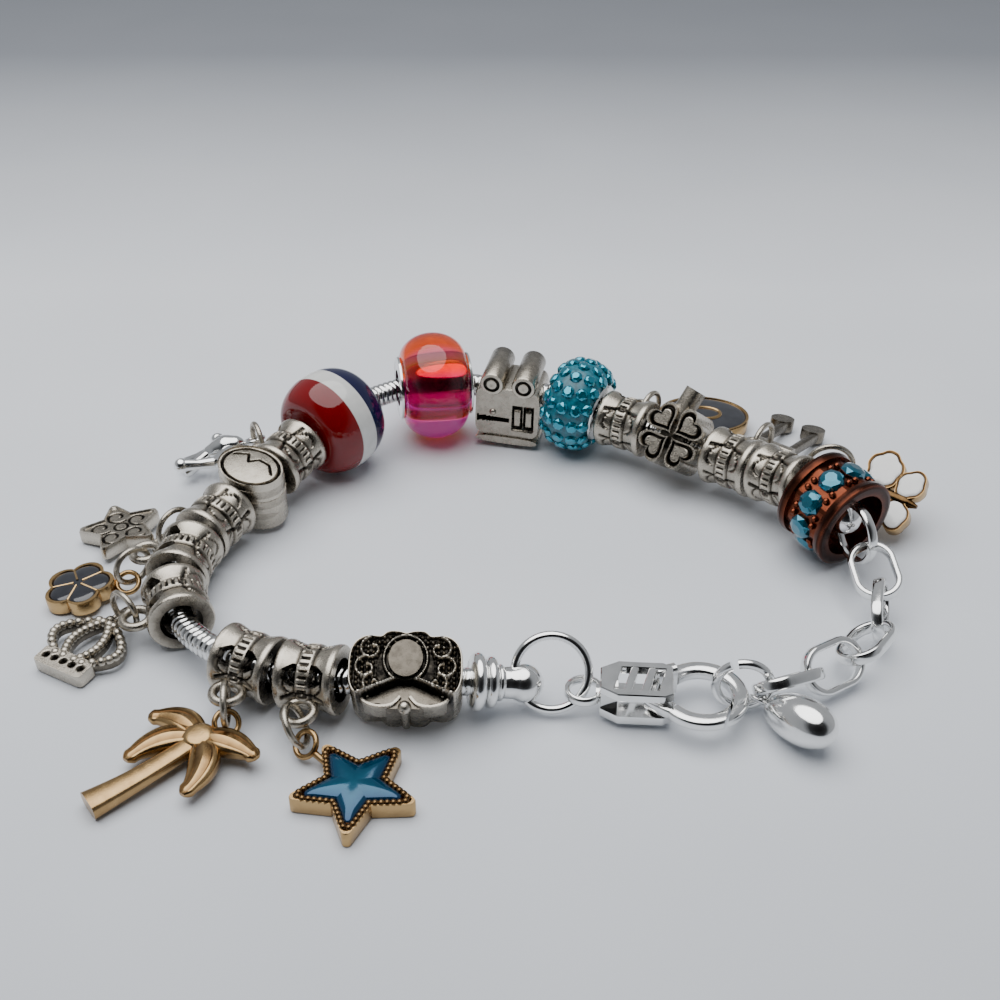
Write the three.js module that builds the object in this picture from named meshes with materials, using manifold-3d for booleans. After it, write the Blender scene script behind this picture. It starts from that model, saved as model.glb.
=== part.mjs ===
// Charm bracelet: beads and bails strung on a snake chain, closed by a lobster clasp.
// Millimetres, +Z up, lying on the plane z = 0 as it rests on a table.
import * as THREE from 'three';
import { mergeVertices } from 'three/addons/utils/BufferGeometryUtils.js';
import Module from 'manifold-3d';

const wasm = await Module();
wasm.setup();

// Snake chain and the clearances between neighbours
const CHAIN_DIAMETER = 3.0;
const CHAIN_STEPS = 30;
const BORE_DIAMETER = 4.6;
const SEAT_GAP = 0.3;
const RUNNING_GAP = 0.3;

// Bail beads: a flared sleeve with a raised band, pierced windows and a soldered loop
const BAIL_LENGTH = 6.2;
const BAIL_RIM_DIAMETER = 7.3;
const BAIL_WAIST_DIAMETER = 6.4;
const BAIL_BAND_DIAMETER = 6.9;
const BAIL_BAND_WIDTH = 1.4;
const BAIL_RIM_WIDTH = 0.6;
const WINDOW_TURN = 52;
const WINDOW_REACH = 1.5;
const WINDOW_WIDE = 2.3;
const WINDOW_NARROW = 1.3;
const LOOP_DIAMETER = 4.0;
const LOOP_WIRE = 1.0;
const LOOP_OFFSET = 4.6;

// Shaped and round beads
const SCROLL_BEAD = { length: 11.4, width: 7.8, face: 3.8, back: 3.0 };
const LEAF_BEAD = { length: 6.6, width: 8.6, face: 3.8, back: 3.6 };
const STRIPED_BEAD = { length: 9.4, diameter: 13.5, bore: 5.0 };
const GLASS_BEAD = { length: 8.6, diameter: 14.2, bore: 6.4 };
const GLASS_CORE = { length: 9.6, flange: 8.3, sleeve: 5.8, bore: 4.8, lip: 0.45 };
const REEL_BEAD = { length: 8.8, depth: 7.6, foot: 6.1, tube: 3.2, tubeRise: 2.7, tubeApart: 4.2 };
const PAVE_BEAD = { length: 7.0, diameter: 11.6, rim: 7.4, bore: 5.0 };
const CRYSTAL = { diameter: 2.0, table: 1.0, proud: 0.35, sunk: 0.3, rows: 3, perRow: 6 };
const CLOVER_BEAD = { leaf: 4.2, leafWidth: 3.9, face: 3.9, back: 3.9, stem: 6.6, stemWidth: 1.7 };
const CHANNEL_BEAD = { length: 7.3, diameter: 11.2, channel: 9.9, rimWidth: 1.0, bore: 8.2 };
const CHANNEL_STONE = { diameter: 3.0, table: 1.6, proud: 0.7, sunk: 0.5, count: 9 };

// End caps on the chain, each with a cross-drilled ball end
const CAP_LENGTH = 5.7;
const CAP_RIDGE_DIAMETER = 6.1;
const CAP_SECOND_DIAMETER = 5.4;
const CAP_NECK_DIAMETER = 3.6;
const CAP_BALL_DIAMETER = 4.0;
const CAP_SOCKET_DEPTH = 2.6;
const CAP_HOLE_DIAMETER = 2.7;
const CAP_SIDES = 10;
const CAP_HOLE_SETBACK = 0.9;

// Rings and links that join the two ends
const BIG_RING = { diameter: 8.6, wire: 0.95, lean: 33 };
const OPEN_RING = { diameter: 6.6, wire: 1.0, gapAt: 112, gap: 14, aside: 1.1, beyond: 0.3 };
const FLAT_RING = { diameter: 7.5, band: 1.1, wire: 0.7 };
const LINK = { length: 8.0, width: 5.4, band: 1.3, wire: 0.75 };
const LINK_SLACK = 0.58;

// Lobster clasp, lying on its side
const CLAW = { diameter: 9.6, section: 1.8, thickness: 1.6, splitAt: 127, splitGap: 0.3, barEnd: 40, rootAt: -42 };
const CLASP_BODY = {
  start: 3.0, end: 10.4, width: 5.2, neck: 3.0, height: 4.0, plate: 1.0, block: 1.9, corner: 0.9, shoulder: 1.8,
};
const CLASP_EYE = { offset: 12.0, hole: 2.9, rim: 0.65, thickness: 1.1, arm: 1.6 };
const GATE_PIVOT = { x: 5.4, y: 0.9, pin: 1.0, hub: 2.7 };
const GATE_TAB = { x: 4.35, y: -3.35, diameter: 1.3 };
const CLASP_HEIGHT = 2.6;

// Heart drop beside the clasp
const DROP = { length: 8.6, diameter: 5.0, eye: 2.6, eyeWire: 0.5, ringTurn: -48 };

// The chosen points that the strand and its fastening follow, seen as it lies
const ROUTE = [
  [2.5, -24.0, 3.1], [-9.4, -25.6, 4.8], [-19.3, -23.9, 3.8], [-27.5, -21.0, 3.8],
  [-33.2, -16.2, 3.7], [-35.8, -9.6, 3.7], [-35.6, -3.0, 3.8], [-33.4, 3.0, 4.1],
  [-30.2, 8.4, 4.6], [-26.1, 14.6, 5.7], [-21.6, 21.6, 6.8], [-15.4, 27.4, 7.1], [-8.0, 30.4, 7.3],
  [0.4, 29.6, 6.7], [9.2, 27.2, 6.5], [15.2, 23.2, 5.5], [21.6, 19.4, 5.9],
  [27.6, 15.2, 5.2], [32.6, 10.6, 5.8], [37.2, 5.0, 6.8], [40.8, -1.2, 5.6],
  [42.2, -8.0, 3.6], [40.8, -14.6, 2.8], [36.6, -19.9, 2.8], [30.4, -23.4, 3.0],
  [23.0, -25.3, 2.5], [12.0, -25.0, 2.4],
].map(([x, y, z]) => new THREE.Vector3(x, y, z));

const ROUND_SIDES = 16;
const BAIL_SIDES = 10;
const RING_STEPS = 10;
const DISC_SIDES = 10;
const WIRE_SIDES = 5;
const UP = new THREE.Vector3(0, 0, 1);
const rad = THREE.MathUtils.degToRad;

// Metals, enamels and stones
const metal = (color, roughness) => new THREE.MeshStandardMaterial({ color, roughness, metalness: 1 });
const PEWTER = metal(0x8d887e, 0.42);
const SILVER = metal(0xd9d9d6, 0.18);
const GOLD = metal(0xc08d5a, 0.3);
const COPPER = metal(0x6b3a2a, 0.3);
const ENAMEL_BLUE = metal(0x1d5f78, 0.15);
const ENAMEL_DARK = metal(0x20242c, 0.2);
const RESIN_RED = new THREE.MeshStandardMaterial({ color: 0xb3202c, roughness: 0.15 });
const GLASS_MAGENTA = new THREE.MeshStandardMaterial({ color: 0xd03a78, roughness: 0.05 });
const CLAY_TEAL = new THREE.MeshStandardMaterial({ color: 0x2e9db8, roughness: 0.25 });

// Closed geometry to solid, turned right side out when its volume comes out negative
function solid(geometry) {
  const bare = geometry.index ? geometry.toNonIndexed() : geometry.clone();
  for (const name of Object.keys(bare.attributes)) {
    if (name !== 'position') bare.deleteAttribute(name);
  }
  const merged = mergeVertices(bare, 1e-4);
  const position = merged.attributes.position.array;
  const index = [];
  for (let i = 0; i < merged.index.count; i += 3) {
    const [a, b, c] = [0, 1, 2].map((k) => merged.index.getX(i + k));
    if (a !== b && b !== c && a !== c) index.push(a, b, c);
  }
  const corner = (i) => new THREE.Vector3().fromArray(position, 3 * i);
  let volume = 0;
  for (let i = 0; i < index.length; i += 3) {
    volume += corner(index[i]).dot(corner(index[i + 1]).cross(corner(index[i + 2])));
  }
  if (volume < 0) index.reverse();
  return new wasm.Manifold(new wasm.Mesh({
    numProp: 3,
    vertProperties: new Float32Array(position),
    triVerts: new Uint32Array(index),
  }));
}

const moved = (body, x, y, z) => body.translate([x, y, z]);
const placed = (body, matrix) => body.transform(matrix.elements);
const union = (bodies) => bodies.reduce((sum, body) => sum.add(body));

// Solid of revolution about local X from [along, radius] pairs; closed means it has a bore
function turned(profile, closed, sides = ROUND_SIDES) {
  const points = profile.map(([along, radius]) => new THREE.Vector2(radius, along));
  if (closed) points.push(points[0].clone());
  return solid(new THREE.LatheGeometry(points, sides).rotateZ(-Math.PI / 2));
}

// Round rod between two points
function rod(from, to, diameter, sides = 10) {
  const along = new THREE.Vector3().subVectors(to, from);
  const turn = new THREE.Quaternion().setFromUnitVectors(new THREE.Vector3(0, 1, 0), along.clone().normalize());
  const middle = new THREE.Vector3().addVectors(from, to).multiplyScalar(0.5);
  const geometry = new THREE.CylinderGeometry(diameter / 2, diameter / 2, along.length(), sides);
  return placed(solid(geometry), new THREE.Matrix4().compose(middle, turn, new THREE.Vector3(1, 1, 1)));
}

// Plate with the outline given by [x, y] pairs, from height low to high
function plate(outline, low, high) {
  const shape = new THREE.Shape(outline.map(([x, y]) => new THREE.Vector2(x, y)));
  return moved(solid(new THREE.ExtrudeGeometry(shape, { depth: high - low, bevelEnabled: false })), 0, 0, low);
}

const box = (x0, x1, y0, y1, z0, z1) => plate([[x0, y0], [x1, y0], [x1, y1], [x0, y1]], z0, z1);

// Points of an arc, in degrees
function arc(cx, cy, rx, ry, from, to, steps) {
  return Array.from({ length: steps + 1 }, (_, i) => {
    const a = rad(from + ((to - from) * i) / steps);
    return [cx + rx * Math.cos(a), cy + ry * Math.sin(a)];
  });
}

const disc = (cx, cy, diameter, low, high, sides = DISC_SIDES) => (
  plate(arc(cx, cy, diameter / 2, diameter / 2, 0, 360 - 360 / sides, sides - 1), low, high)
);

// Round-wire ring in the local XY plane, of the given outer diameter
function ring(diameter, wire, steps = RING_STEPS, sides = WIRE_SIDES) {
  return solid(new THREE.TorusGeometry((diameter - wire) / 2, wire / 2, sides, steps));
}

// Flat-band ring about local Z, pulled out along X into a long link
function bandLink(length, width, band, wire) {
  const r = width / 2;
  const profile = [[r - wire, -band / 2], [r, -band / 2], [r, band / 2], [r - wire, band / 2]]
    .map(([x, y]) => new THREE.Vector2(x, y));
  profile.push(profile[0].clone());
  const geometry = new THREE.LatheGeometry(profile, ROUND_SIDES).rotateX(Math.PI / 2);
  geometry.rotateZ(Math.PI / ROUND_SIDES);
  const position = geometry.attributes.position;
  for (let i = 0; i < position.count; i += 1) {
    position.setX(i, position.getX(i) + (Math.sign(position.getX(i)) * (length - width)) / 2);
  }
  return solid(geometry);
}

// Cut stone seen from +Z: a girdle, eight crown facets and a table, with its base sunk
function cutStone(diameter, table, proud, sunk) {
  const profile = [[0, -sunk], [diameter / 2, -sunk], [diameter / 2, 0], [table / 2, proud], [0, proud]];
  const points = profile.map(([r, y]) => new THREE.Vector2(r, y));
  return solid(new THREE.LatheGeometry(points, 8).rotateX(Math.PI / 2));
}

// The strand: what sits on it in order, each with its length along it
const bail = (name, roll) => ({ name, length: BAIL_LENGTH, roll, rim: BAIL_RIM_DIAMETER / 2 });
const visibleChain = (length) => ({ name: null, length });
const STRAND = [
  { name: 'end_cap_front', length: CAP_LENGTH, rim: CAP_RIDGE_DIAMETER / 2 },
  { name: 'scroll_bead', length: SCROLL_BEAD.length, roll: 64, rim: SCROLL_BEAD.width / 3 },
  bail('bail_bead_1', -10),
  bail('bail_bead_2', -4),
  visibleChain(7.3),
  bail('bail_bead_3', -8),
  bail('bail_bead_4', 8),
  bail('bail_bead_5', -25),
  { name: 'leaf_bead', length: LEAF_BEAD.length, roll: 96, rim: BAIL_RIM_DIAMETER / 2 },
  bail('bail_bead_6', -14),
  { name: 'striped_bead', length: STRIPED_BEAD.length, roll: 90, rim: STRIPED_BEAD.diameter * 0.33 },
  visibleChain(5.6),
  { name: 'glass_bead', length: GLASS_CORE.length, roll: 90, rim: GLASS_CORE.flange / 2 },
  { name: 'reel_bead', length: REEL_BEAD.length, roll: 180, rim: REEL_BEAD.depth * 0.4 },
  { name: 'pave_bead', length: PAVE_BEAD.length, roll: 90, rim: PAVE_BEAD.rim / 2 },
  bail('bail_bead_7', 4),
  { name: 'clover_bead', length: CLOVER_BEAD.leaf * 1.84, roll: 143, rim: CLOVER_BEAD.leafWidth },
  bail('bail_bead_8', 2),
  bail('bail_bead_9', -8),
  { name: 'end_cap_rear', length: CAP_LENGTH, rim: CHANNEL_BEAD.diameter / 2 },
];

// Closed route whose plan is scaled until its length is that of everything on it
const capHole = CAP_LENGTH - CAP_HOLE_SETBACK;
const bigRingMean = (BIG_RING.diameter - BIG_RING.wire) / 2;
const bigRingSpan = bigRingMean * 1.86;
const openRingMean = (OPEN_RING.diameter - OPEN_RING.wire) / 2;
const clawMean = (CLAW.diameter - CLAW.section) / 2;
const linkInner = LINK.length / 2 - LINK.wire;
const linkPitch = 2 * linkInner - LINK_SLACK;
const flatRingMean = (FLAT_RING.diameter - FLAT_RING.wire) / 2;
const fasteningSteps = {
  flatRing: flatRingMean - CAP_HOLE_SETBACK,
  link_2: flatRingMean - FLAT_RING.wire / 2 + linkInner - LINK_SLACK,
  link_3: linkPitch,
  link_4: linkPitch,
  link_5: linkPitch,
  link_6: linkPitch,
  openRing: openRingMean + linkInner - OPEN_RING.wire / 2 - LINK_SLACK,
  claw: clawMean + OPEN_RING.beyond,
  claspEye: CLASP_EYE.offset,
  frontBall: bigRingSpan - CAP_HOLE_SETBACK,
};
const sumOf = (values) => values.reduce((sum, value) => sum + value, 0);
const fasteningLength = sumOf(Object.values(fasteningSteps));

function routeCurve(wanted) {
  const centre = new THREE.Vector3();
  ROUTE.forEach((point) => centre.addScaledVector(point, 1 / ROUTE.length));
  let scale = 1;
  let curve = null;
  for (let pass = 0; pass < 6; pass += 1) {
    const points = ROUTE.map((p) => new THREE.Vector3(
      centre.x + (p.x - centre.x) * scale,
      centre.y + (p.y - centre.y) * scale,
      p.z,
    ));
    curve = new THREE.CatmullRomCurve3(points, true, 'catmullrom', 0.5);
    curve.arcLengthDivisions = 2000;
    scale *= wanted / curve.getLength();
  }
  return curve;
}

// The gaps between neighbours open by as much as the strand bends between them
let gaps = STRAND.map(() => SEAT_GAP);
let totalLength = 0;
let route = null;
for (let pass = 0; pass < 4; pass += 1) {
  totalLength = sumOf(STRAND.map((item) => item.length)) + sumOf(gaps) + fasteningLength;
  route = routeCurve(totalLength);
  let from = 0;
  const chords = STRAND.map((item, i) => {
    const ends = [from, from + item.length].map((s) => route.getPointAt(s / totalLength));
    from += item.length + gaps[i];
    return ends[1].sub(ends[0]);
  });
  gaps = STRAND.map((item, i) => {
    const next = STRAND[i + 1];
    if (!next || !item.name || !next.name) return next ? SEAT_GAP : 0;
    return SEAT_GAP + Math.tan(chords[i].angleTo(chords[i + 1]) / 2) * 2 * Math.min(item.rim, next.rim);
  });
}
const pointAt = (s) => route.getPointAt((((s / totalLength) % 1) + 1) % 1);
const alongAt = (s) => route.getTangentAt((((s / totalLength) % 1) + 1) % 1);

// Frame of a piece: X along the route, Z turned by roll degrees from outwards to up
function frameAt(s, roll, reach = 0) {
  const x = reach ? new THREE.Vector3().subVectors(pointAt(s + reach), pointAt(s - reach)) : alongAt(s);
  x.normalize();
  const outward = new THREE.Vector3().crossVectors(UP, x).normalize();
  const top = new THREE.Vector3().crossVectors(x, outward).normalize();
  const z = outward.multiplyScalar(Math.cos(rad(roll))).addScaledVector(top, Math.sin(rad(roll)));
  const y = new THREE.Vector3().crossVectors(z, x);
  const origin = reach
    ? new THREE.Vector3().addVectors(pointAt(s + reach), pointAt(s - reach)).add(pointAt(s)).divideScalar(3)
    : pointAt(s);
  return new THREE.Matrix4().makeBasis(x, y, z).setPosition(origin);
}

// Frame with its X axis along x and its Z axis as near to z as that leaves
function frameFrom(origin, x, z) {
  const ex = x.clone().normalize();
  const ez = z.clone().addScaledVector(ex, -z.dot(ex)).normalize();
  const ey = new THREE.Vector3().crossVectors(ez, ex);
  return new THREE.Matrix4().makeBasis(ex, ey, ez).setPosition(origin);
}

// Ring of mean radius r through p and q, bulging towards side: its centre and its wire's way at p and q
function ringThrough(p, q, radius, side) {
  const chord = new THREE.Vector3().subVectors(q, p);
  const e1 = chord.clone().normalize();
  const e2 = side.clone().addScaledVector(e1, -side.dot(e1)).normalize();
  const rise = Math.sqrt(radius * radius - chord.lengthSq() / 4);
  const centre = new THREE.Vector3().addVectors(p, q).multiplyScalar(0.5).addScaledVector(e2, rise);
  const normal = new THREE.Vector3().crossVectors(e1, e2);
  const wayAt = (point) => new THREE.Vector3().subVectors(point, centre).cross(normal).normalize();
  return { frame: frameFrom(centre, e1, normal), wayAtP: wayAt(p), wayAtQ: wayAt(q) };
}

const bracelet = new THREE.Group();
function add(name, body, material, frame = new THREE.Matrix4()) {
  const { numProp, vertProperties, triVerts } = body.getMesh();
  const geometry = new THREE.BufferGeometry();
  const position = new Float32Array((vertProperties.length / numProp) * 3);
  for (let i = 0; i < position.length; i += 1) {
    position[i] = vertProperties[Math.floor(i / 3) * numProp + (i % 3)];
  }
  geometry.setAttribute('position', new THREE.BufferAttribute(position, 3));
  geometry.setIndex(new THREE.BufferAttribute(new Uint32Array(triVerts), 1));
  geometry.computeVertexNormals();
  const mesh = new THREE.Mesh(geometry, material);
  mesh.name = name;
  mesh.applyMatrix4(frame);
  bracelet.add(mesh);
}

// Stations: the middle of each strung piece, measured from the front ball
const stations = {};
let travelled = 0;
STRAND.forEach((item, i) => {
  if (item.name) stations[item.name] = { ...item, middle: travelled + item.length / 2 };
  travelled += item.length + gaps[i];
});
const rearBall = travelled;
const beadFrame = (name) => {
  const { middle, roll, length } = stations[name];
  return frameAt(middle, roll, length / 2);
};

// Where each named point of the fastening lies along the route
const fastening = {};
let reached = rearBall;
for (const [name, step] of Object.entries(fasteningSteps)) {
  reached += step;
  fastening[name] = reached;
}

// End caps: two turned ridges, a neck and a ball end, socketed for the chain
const NECK_START = CAP_LENGTH * 0.6;
function endCap(holeWay) {
  const ridge = CAP_RIDGE_DIAMETER / 2;
  const second = CAP_SECOND_DIAMETER / 2;
  const neck = CAP_NECK_DIAMETER / 2;
  const ball = CAP_BALL_DIAMETER / 2;
  const socket = CHAIN_DIAMETER / 2 + SEAT_GAP;
  const ballFrom = Math.sqrt(ball * ball - neck * neck);
  const ballArc = arc(CAP_LENGTH, 0, ball, ball, 180 - THREE.MathUtils.radToDeg(Math.asin(neck / ball)), 0, 6);
  const body = turned([
    [CAP_SOCKET_DEPTH, 0], [CAP_SOCKET_DEPTH, socket], [0, socket], [0, ridge * 0.86],
    [CAP_LENGTH * 0.06, ridge], [CAP_LENGTH * 0.2, ridge], [CAP_LENGTH * 0.28, second * 0.84],
    [CAP_LENGTH * 0.34, second * 0.84], [CAP_LENGTH * 0.4, second], [CAP_LENGTH * 0.5, second],
    [NECK_START, neck], [CAP_LENGTH - ballFrom, neck], ...ballArc.slice(1),
  ], false, CAP_SIDES);
  const hole = new THREE.Vector3(capHole, 0, 0);
  const reach = holeWay.clone().multiplyScalar(CAP_BALL_DIAMETER);
  const from = hole.clone().sub(reach);
  return body.subtract(rod(from, hole.clone().add(reach), CAP_HOLE_DIAMETER, 12));
}

// Clasp: claw, forked body and eye, with the gate's pin
const clasp = frameFrom(
  pointAt(fastening.claw).setZ(CLASP_HEIGHT),
  new THREE.Vector3().subVectors(pointAt(fastening.claspEye), pointAt(fastening.claw)).setZ(0),
  UP,
);
function clawArc(from, to, thickness) {
  const outer = CLAW.diameter / 2;
  const inner = outer - CLAW.section;
  const steps = Math.max(3, Math.round(Math.abs(to - from) / 20));
  return plate([
    ...arc(0, 0, outer, outer, from, to, steps),
    ...arc(0, 0, inner, inner, to, from, steps),
  ], -thickness / 2, thickness / 2);
}
// The gate's tip parts from the claw along the way that it moves. Far and near are measured
// from that line, away from the pivot
function besideSplit(near, far) {
  const split = new THREE.Vector2(clawMean, 0).rotateAround(new THREE.Vector2(), rad(CLAW.splitAt));
  const away = split.clone().sub(new THREE.Vector2(GATE_PIVOT.x, GATE_PIVOT.y)).normalize();
  const across = new THREE.Vector2(-away.y, away.x).multiplyScalar(CLAW.section * 1.4);
  const corner = (distance, side) => split.clone().addScaledVector(away, distance).addScaledVector(across, side);
  const corners = [corner(near, -1), corner(far, -1), corner(far, 1), corner(near, 1)];
  return plate(corners.map(({ x, y }) => [x, y]), -CLASP_BODY.height, CLASP_BODY.height);
}
const SPLIT_SPREAD = 30;

function claspSolid() {
  const half = CLASP_BODY.height / 2;
  const inside = half - CLASP_BODY.plate;
  const side = CLASP_BODY.width / 2;
  const neck = CLASP_BODY.neck / 2;
  const { start, end, corner, shoulder } = CLASP_BODY;
  const outline = [
    [start, corner - side], [start + corner, -side], [end - shoulder, -side],
    [end, -neck], [end, neck], [end - shoulder, side], [start + corner, side], [start, side - corner],
  ];
  const root = new THREE.Vector2(clawMean, 0).rotateAround(new THREE.Vector2(), rad(CLAW.rootAt));
  const grip = CLAW.section / 2;
  const eyeHalf = CLASP_EYE.thickness / 2;
  const slotHalf = (end - start) * 0.12;
  const slots = [0.52, 0.74].map((share) => {
    const x = start + (end - start) * share;
    return box(x - slotHalf, x + slotHalf, -side * 0.55, side * 0.55, inside - RUNNING_GAP, half + RUNNING_GAP);
  });
  const claw = clawArc(CLAW.splitAt - SPLIT_SPREAD, 360 + CLAW.rootAt, CLAW.thickness)
    .subtract(besideSplit(-CLAW.diameter, CLAW.splitGap));
  const body = union([
    plate(outline, inside, half),
    plate(outline, -half, -inside),
    box(end - CLASP_BODY.block, end, -neck, neck, -half, half),
    claw,
    box(root.x - grip * 0.55, root.x + grip, root.y - 0.2, root.y + grip * 1.2, -half, half),
    box(end - eyeHalf, CLASP_EYE.offset, -CLASP_EYE.arm / 2, CLASP_EYE.arm / 2, -eyeHalf, eyeHalf),
    disc(CLASP_EYE.offset, 0, CLASP_EYE.hole + 2 * CLASP_EYE.rim, -eyeHalf, eyeHalf, ROUND_SIDES),
    disc(GATE_PIVOT.x, GATE_PIVOT.y, GATE_PIVOT.pin, -half, half),
  ]);
  const cut = disc(CLASP_EYE.offset, 0, CLASP_EYE.hole, -half, half, ROUND_SIDES);
  return slots.reduce((sum, slot) => sum.subtract(slot), body.subtract(cut));
}

// Gate: a curved bar on a hub, with a thumb tab out of the back of the body
function gateSolid() {
  const thick = CLASP_BODY.height - 2 * CLASP_BODY.plate - 2 * RUNNING_GAP;
  const hub = GATE_PIVOT.hub / 2;
  const tab = GATE_TAB.diameter / 3;
  const barAt = (radius) => {
    const point = new THREE.Vector2(radius, 0).rotateAround(new THREE.Vector2(), rad(CLAW.barEnd));
    return [point.x, point.y];
  };
  const arm = plate([
    barAt(CLAW.diameter / 2), barAt(CLAW.diameter / 2 - CLAW.section),
    [GATE_PIVOT.x - hub * 0.5, GATE_PIVOT.y - hub * 0.6], [GATE_PIVOT.x + hub * 0.5, GATE_PIVOT.y + hub * 0.8],
  ], -thick / 2, thick / 2);
  const lever = plate([
    [GATE_TAB.x - tab, GATE_TAB.y], [GATE_TAB.x + tab, GATE_TAB.y],
    [GATE_PIVOT.x + hub * 0.5, GATE_PIVOT.y], [GATE_PIVOT.x - hub * 0.4, GATE_PIVOT.y],
  ], -thick / 2, thick / 2);
  const bar = clawArc(CLAW.splitAt + SPLIT_SPREAD, CLAW.barEnd, thick).subtract(besideSplit(0, CLAW.diameter));
  const hole = disc(GATE_PIVOT.x, GATE_PIVOT.y, GATE_PIVOT.pin + 2 * RUNNING_GAP, -thick, thick);
  return union([
    bar,
    arm,
    lever,
    disc(GATE_PIVOT.x, GATE_PIVOT.y, GATE_PIVOT.hub, -thick / 2, thick / 2),
    disc(GATE_TAB.x, GATE_TAB.y, GATE_TAB.diameter, -thick / 2, thick / 2),
  ]).subtract(hole);
}
add('clasp_body', claspSolid(), SILVER, clasp);
add('clasp_gate', gateSolid(), SILVER, clasp);

// Big ring: through the clasp's eye and the front cap's hole, leaning back
const claspEye = new THREE.Vector3(CLASP_EYE.offset, 0, 0).applyMatrix4(clasp);
const frontAxis = frameFrom(
  pointAt(fastening.frontBall),
  new THREE.Vector3().subVectors(pointAt(0), pointAt(CAP_LENGTH)),
  UP,
);
const frontHole = new THREE.Vector3(-CAP_HOLE_SETBACK, 0, 0).applyMatrix4(frontAxis);
const lean = new THREE.Vector3(0, Math.sin(rad(BIG_RING.lean)), Math.cos(rad(BIG_RING.lean)));
const bigRing = ringThrough(claspEye, frontHole, bigRingMean, lean);
add('big_ring', ring(BIG_RING.diameter, BIG_RING.wire), SILVER, bigRing.frame);
const frontCap = frontAxis.clone().multiply(new THREE.Matrix4().makeTranslation(-CAP_LENGTH, 0, 0));
const wayInCap = bigRing.wayAtQ.clone().transformDirection(frontCap.clone().invert());
add('end_cap_front', endCap(wayInCap), SILVER, frontCap);

// Rear cap and flat ring
const rearAxis = frameAt(rearBall - CAP_LENGTH / 2, 0, CAP_LENGTH / 2);
const rearCap = rearAxis.clone().multiply(new THREE.Matrix4().makeTranslation(-CAP_LENGTH / 2, 0, 0));
add('end_cap_rear', endCap(new THREE.Vector3(0, 1, 0)), SILVER, rearCap);
add(
  'flat_ring',
  bandLink(FLAT_RING.diameter, FLAT_RING.diameter, FLAT_RING.band, FLAT_RING.wire),
  SILVER,
  frameAt(fastening.flatRing, 0, flatRingMean),
);
// Open ring through the claw, bent from wire with a narrow gap
const openRingFrame = frameFrom(
  new THREE.Vector3(-clawMean - OPEN_RING.beyond, -OPEN_RING.aside, OPEN_RING.diameter / 2 - CLASP_HEIGHT + 0.1)
    .applyMatrix4(clasp),
  new THREE.Vector3(-1, 0, 0).transformDirection(clasp),
  new THREE.Vector3(0, 1, 0).transformDirection(clasp),
);
class OpenArc extends THREE.Curve {
  getPoint(t, target = new THREE.Vector3()) {
    const a = rad(OPEN_RING.gapAt + OPEN_RING.gap / 2 + t * (360 - OPEN_RING.gap));
    return target.set(openRingMean * Math.cos(a), openRingMean * Math.sin(a), 0);
  }
}
const wireSection = new THREE.Shape(
  arc(0, 0, OPEN_RING.wire / 2, OPEN_RING.wire / 2, 0, 300, 5).map(([x, y]) => new THREE.Vector2(x, y)),
);
const openWire = new THREE.ExtrudeGeometry(wireSection, { steps: RING_STEPS, extrudePath: new OpenArc() });
add('open_ring', solid(openWire), SILVER, openRingFrame);

// The extension links; the last is aimed from its neighbour at the open ring's wire
const LINK_ROLLS = { link_2: -80, link_3: 15, link_4: -62, link_5: 40, link_6: -45 };
for (const [name, roll] of Object.entries(LINK_ROLLS)) {
  const link = bandLink(LINK.length, LINK.width, LINK.band, LINK.wire);
  const frame = frameAt(fastening[name], roll, linkInner);
  if (name === 'link_6') {
    const hook = new THREE.Vector3(openRingMean, 0, 0).applyMatrix4(openRingFrame);
    const way = hook.clone().sub(pointAt((fastening.link_5 + fastening.link_6) / 2)).normalize();
    const face = new THREE.Vector3(0, 0, 1).transformDirection(frame);
    const middle = hook.clone().addScaledVector(way, OPEN_RING.wire / 2 + LINK_SLACK - linkInner);
    frame.copy(frameFrom(middle, way, face));
  }
  add(name, link, SILVER, frame);
}

// Heart drop: a polished puffed drop with a small eye, lying beside the clasp
const dropEye = new THREE.Vector3(
  openRingMean * Math.cos(rad(DROP.ringTurn)),
  openRingMean * Math.sin(rad(DROP.ringTurn)),
  0,
).applyMatrix4(openRingFrame);
function dropSolid() {
  const r = DROP.diameter / 2;
  const from = DROP.eye / 2 - 0.2;
  const shares = [[0, 0], [0.04, 0.3], [0.16, 0.62], [0.34, 0.9], [0.55, 1], [0.76, 0.88], [0.92, 0.56], [1, 0]];
  const body = turned(shares.map(([along, share]) => [from + along * DROP.length, share * r]), false, 12);
  return body.add(ring(DROP.eye, DROP.eyeWire));
}
const dropWay = new THREE.Vector3(0.62, -0.78, (DROP.diameter / 2 - dropEye.z) / (DROP.length * 0.6));
const wireWay = new THREE.Vector3(-Math.sin(rad(DROP.ringTurn)), Math.cos(rad(DROP.ringTurn)), 0)
  .transformDirection(openRingFrame);
add('heart_drop', dropSolid(), SILVER, frameFrom(dropEye, dropWay, wireWay));

// The snake chain, from socket to socket
const chainInset = CAP_SOCKET_DEPTH - SEAT_GAP;
const chainStart = CAP_LENGTH - chainInset;
const chainEnd = rearBall - CAP_LENGTH + chainInset;
class ChainRoute extends THREE.Curve {
  getPoint(t, target = new THREE.Vector3()) {
    return target.copy(pointAt(chainStart + t * (chainEnd - chainStart)));
  }
}
const chainSection = new THREE.Shape(
  arc(0, 0, CHAIN_DIAMETER / 2, CHAIN_DIAMETER / 2, 0, 315, 7).map(([x, y]) => new THREE.Vector2(x, y)),
);
const chainTube = new THREE.ExtrudeGeometry(chainSection, { steps: CHAIN_STEPS, extrudePath: new ChainRoute() });
add('snake_chain', solid(chainTube), SILVER);

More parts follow.
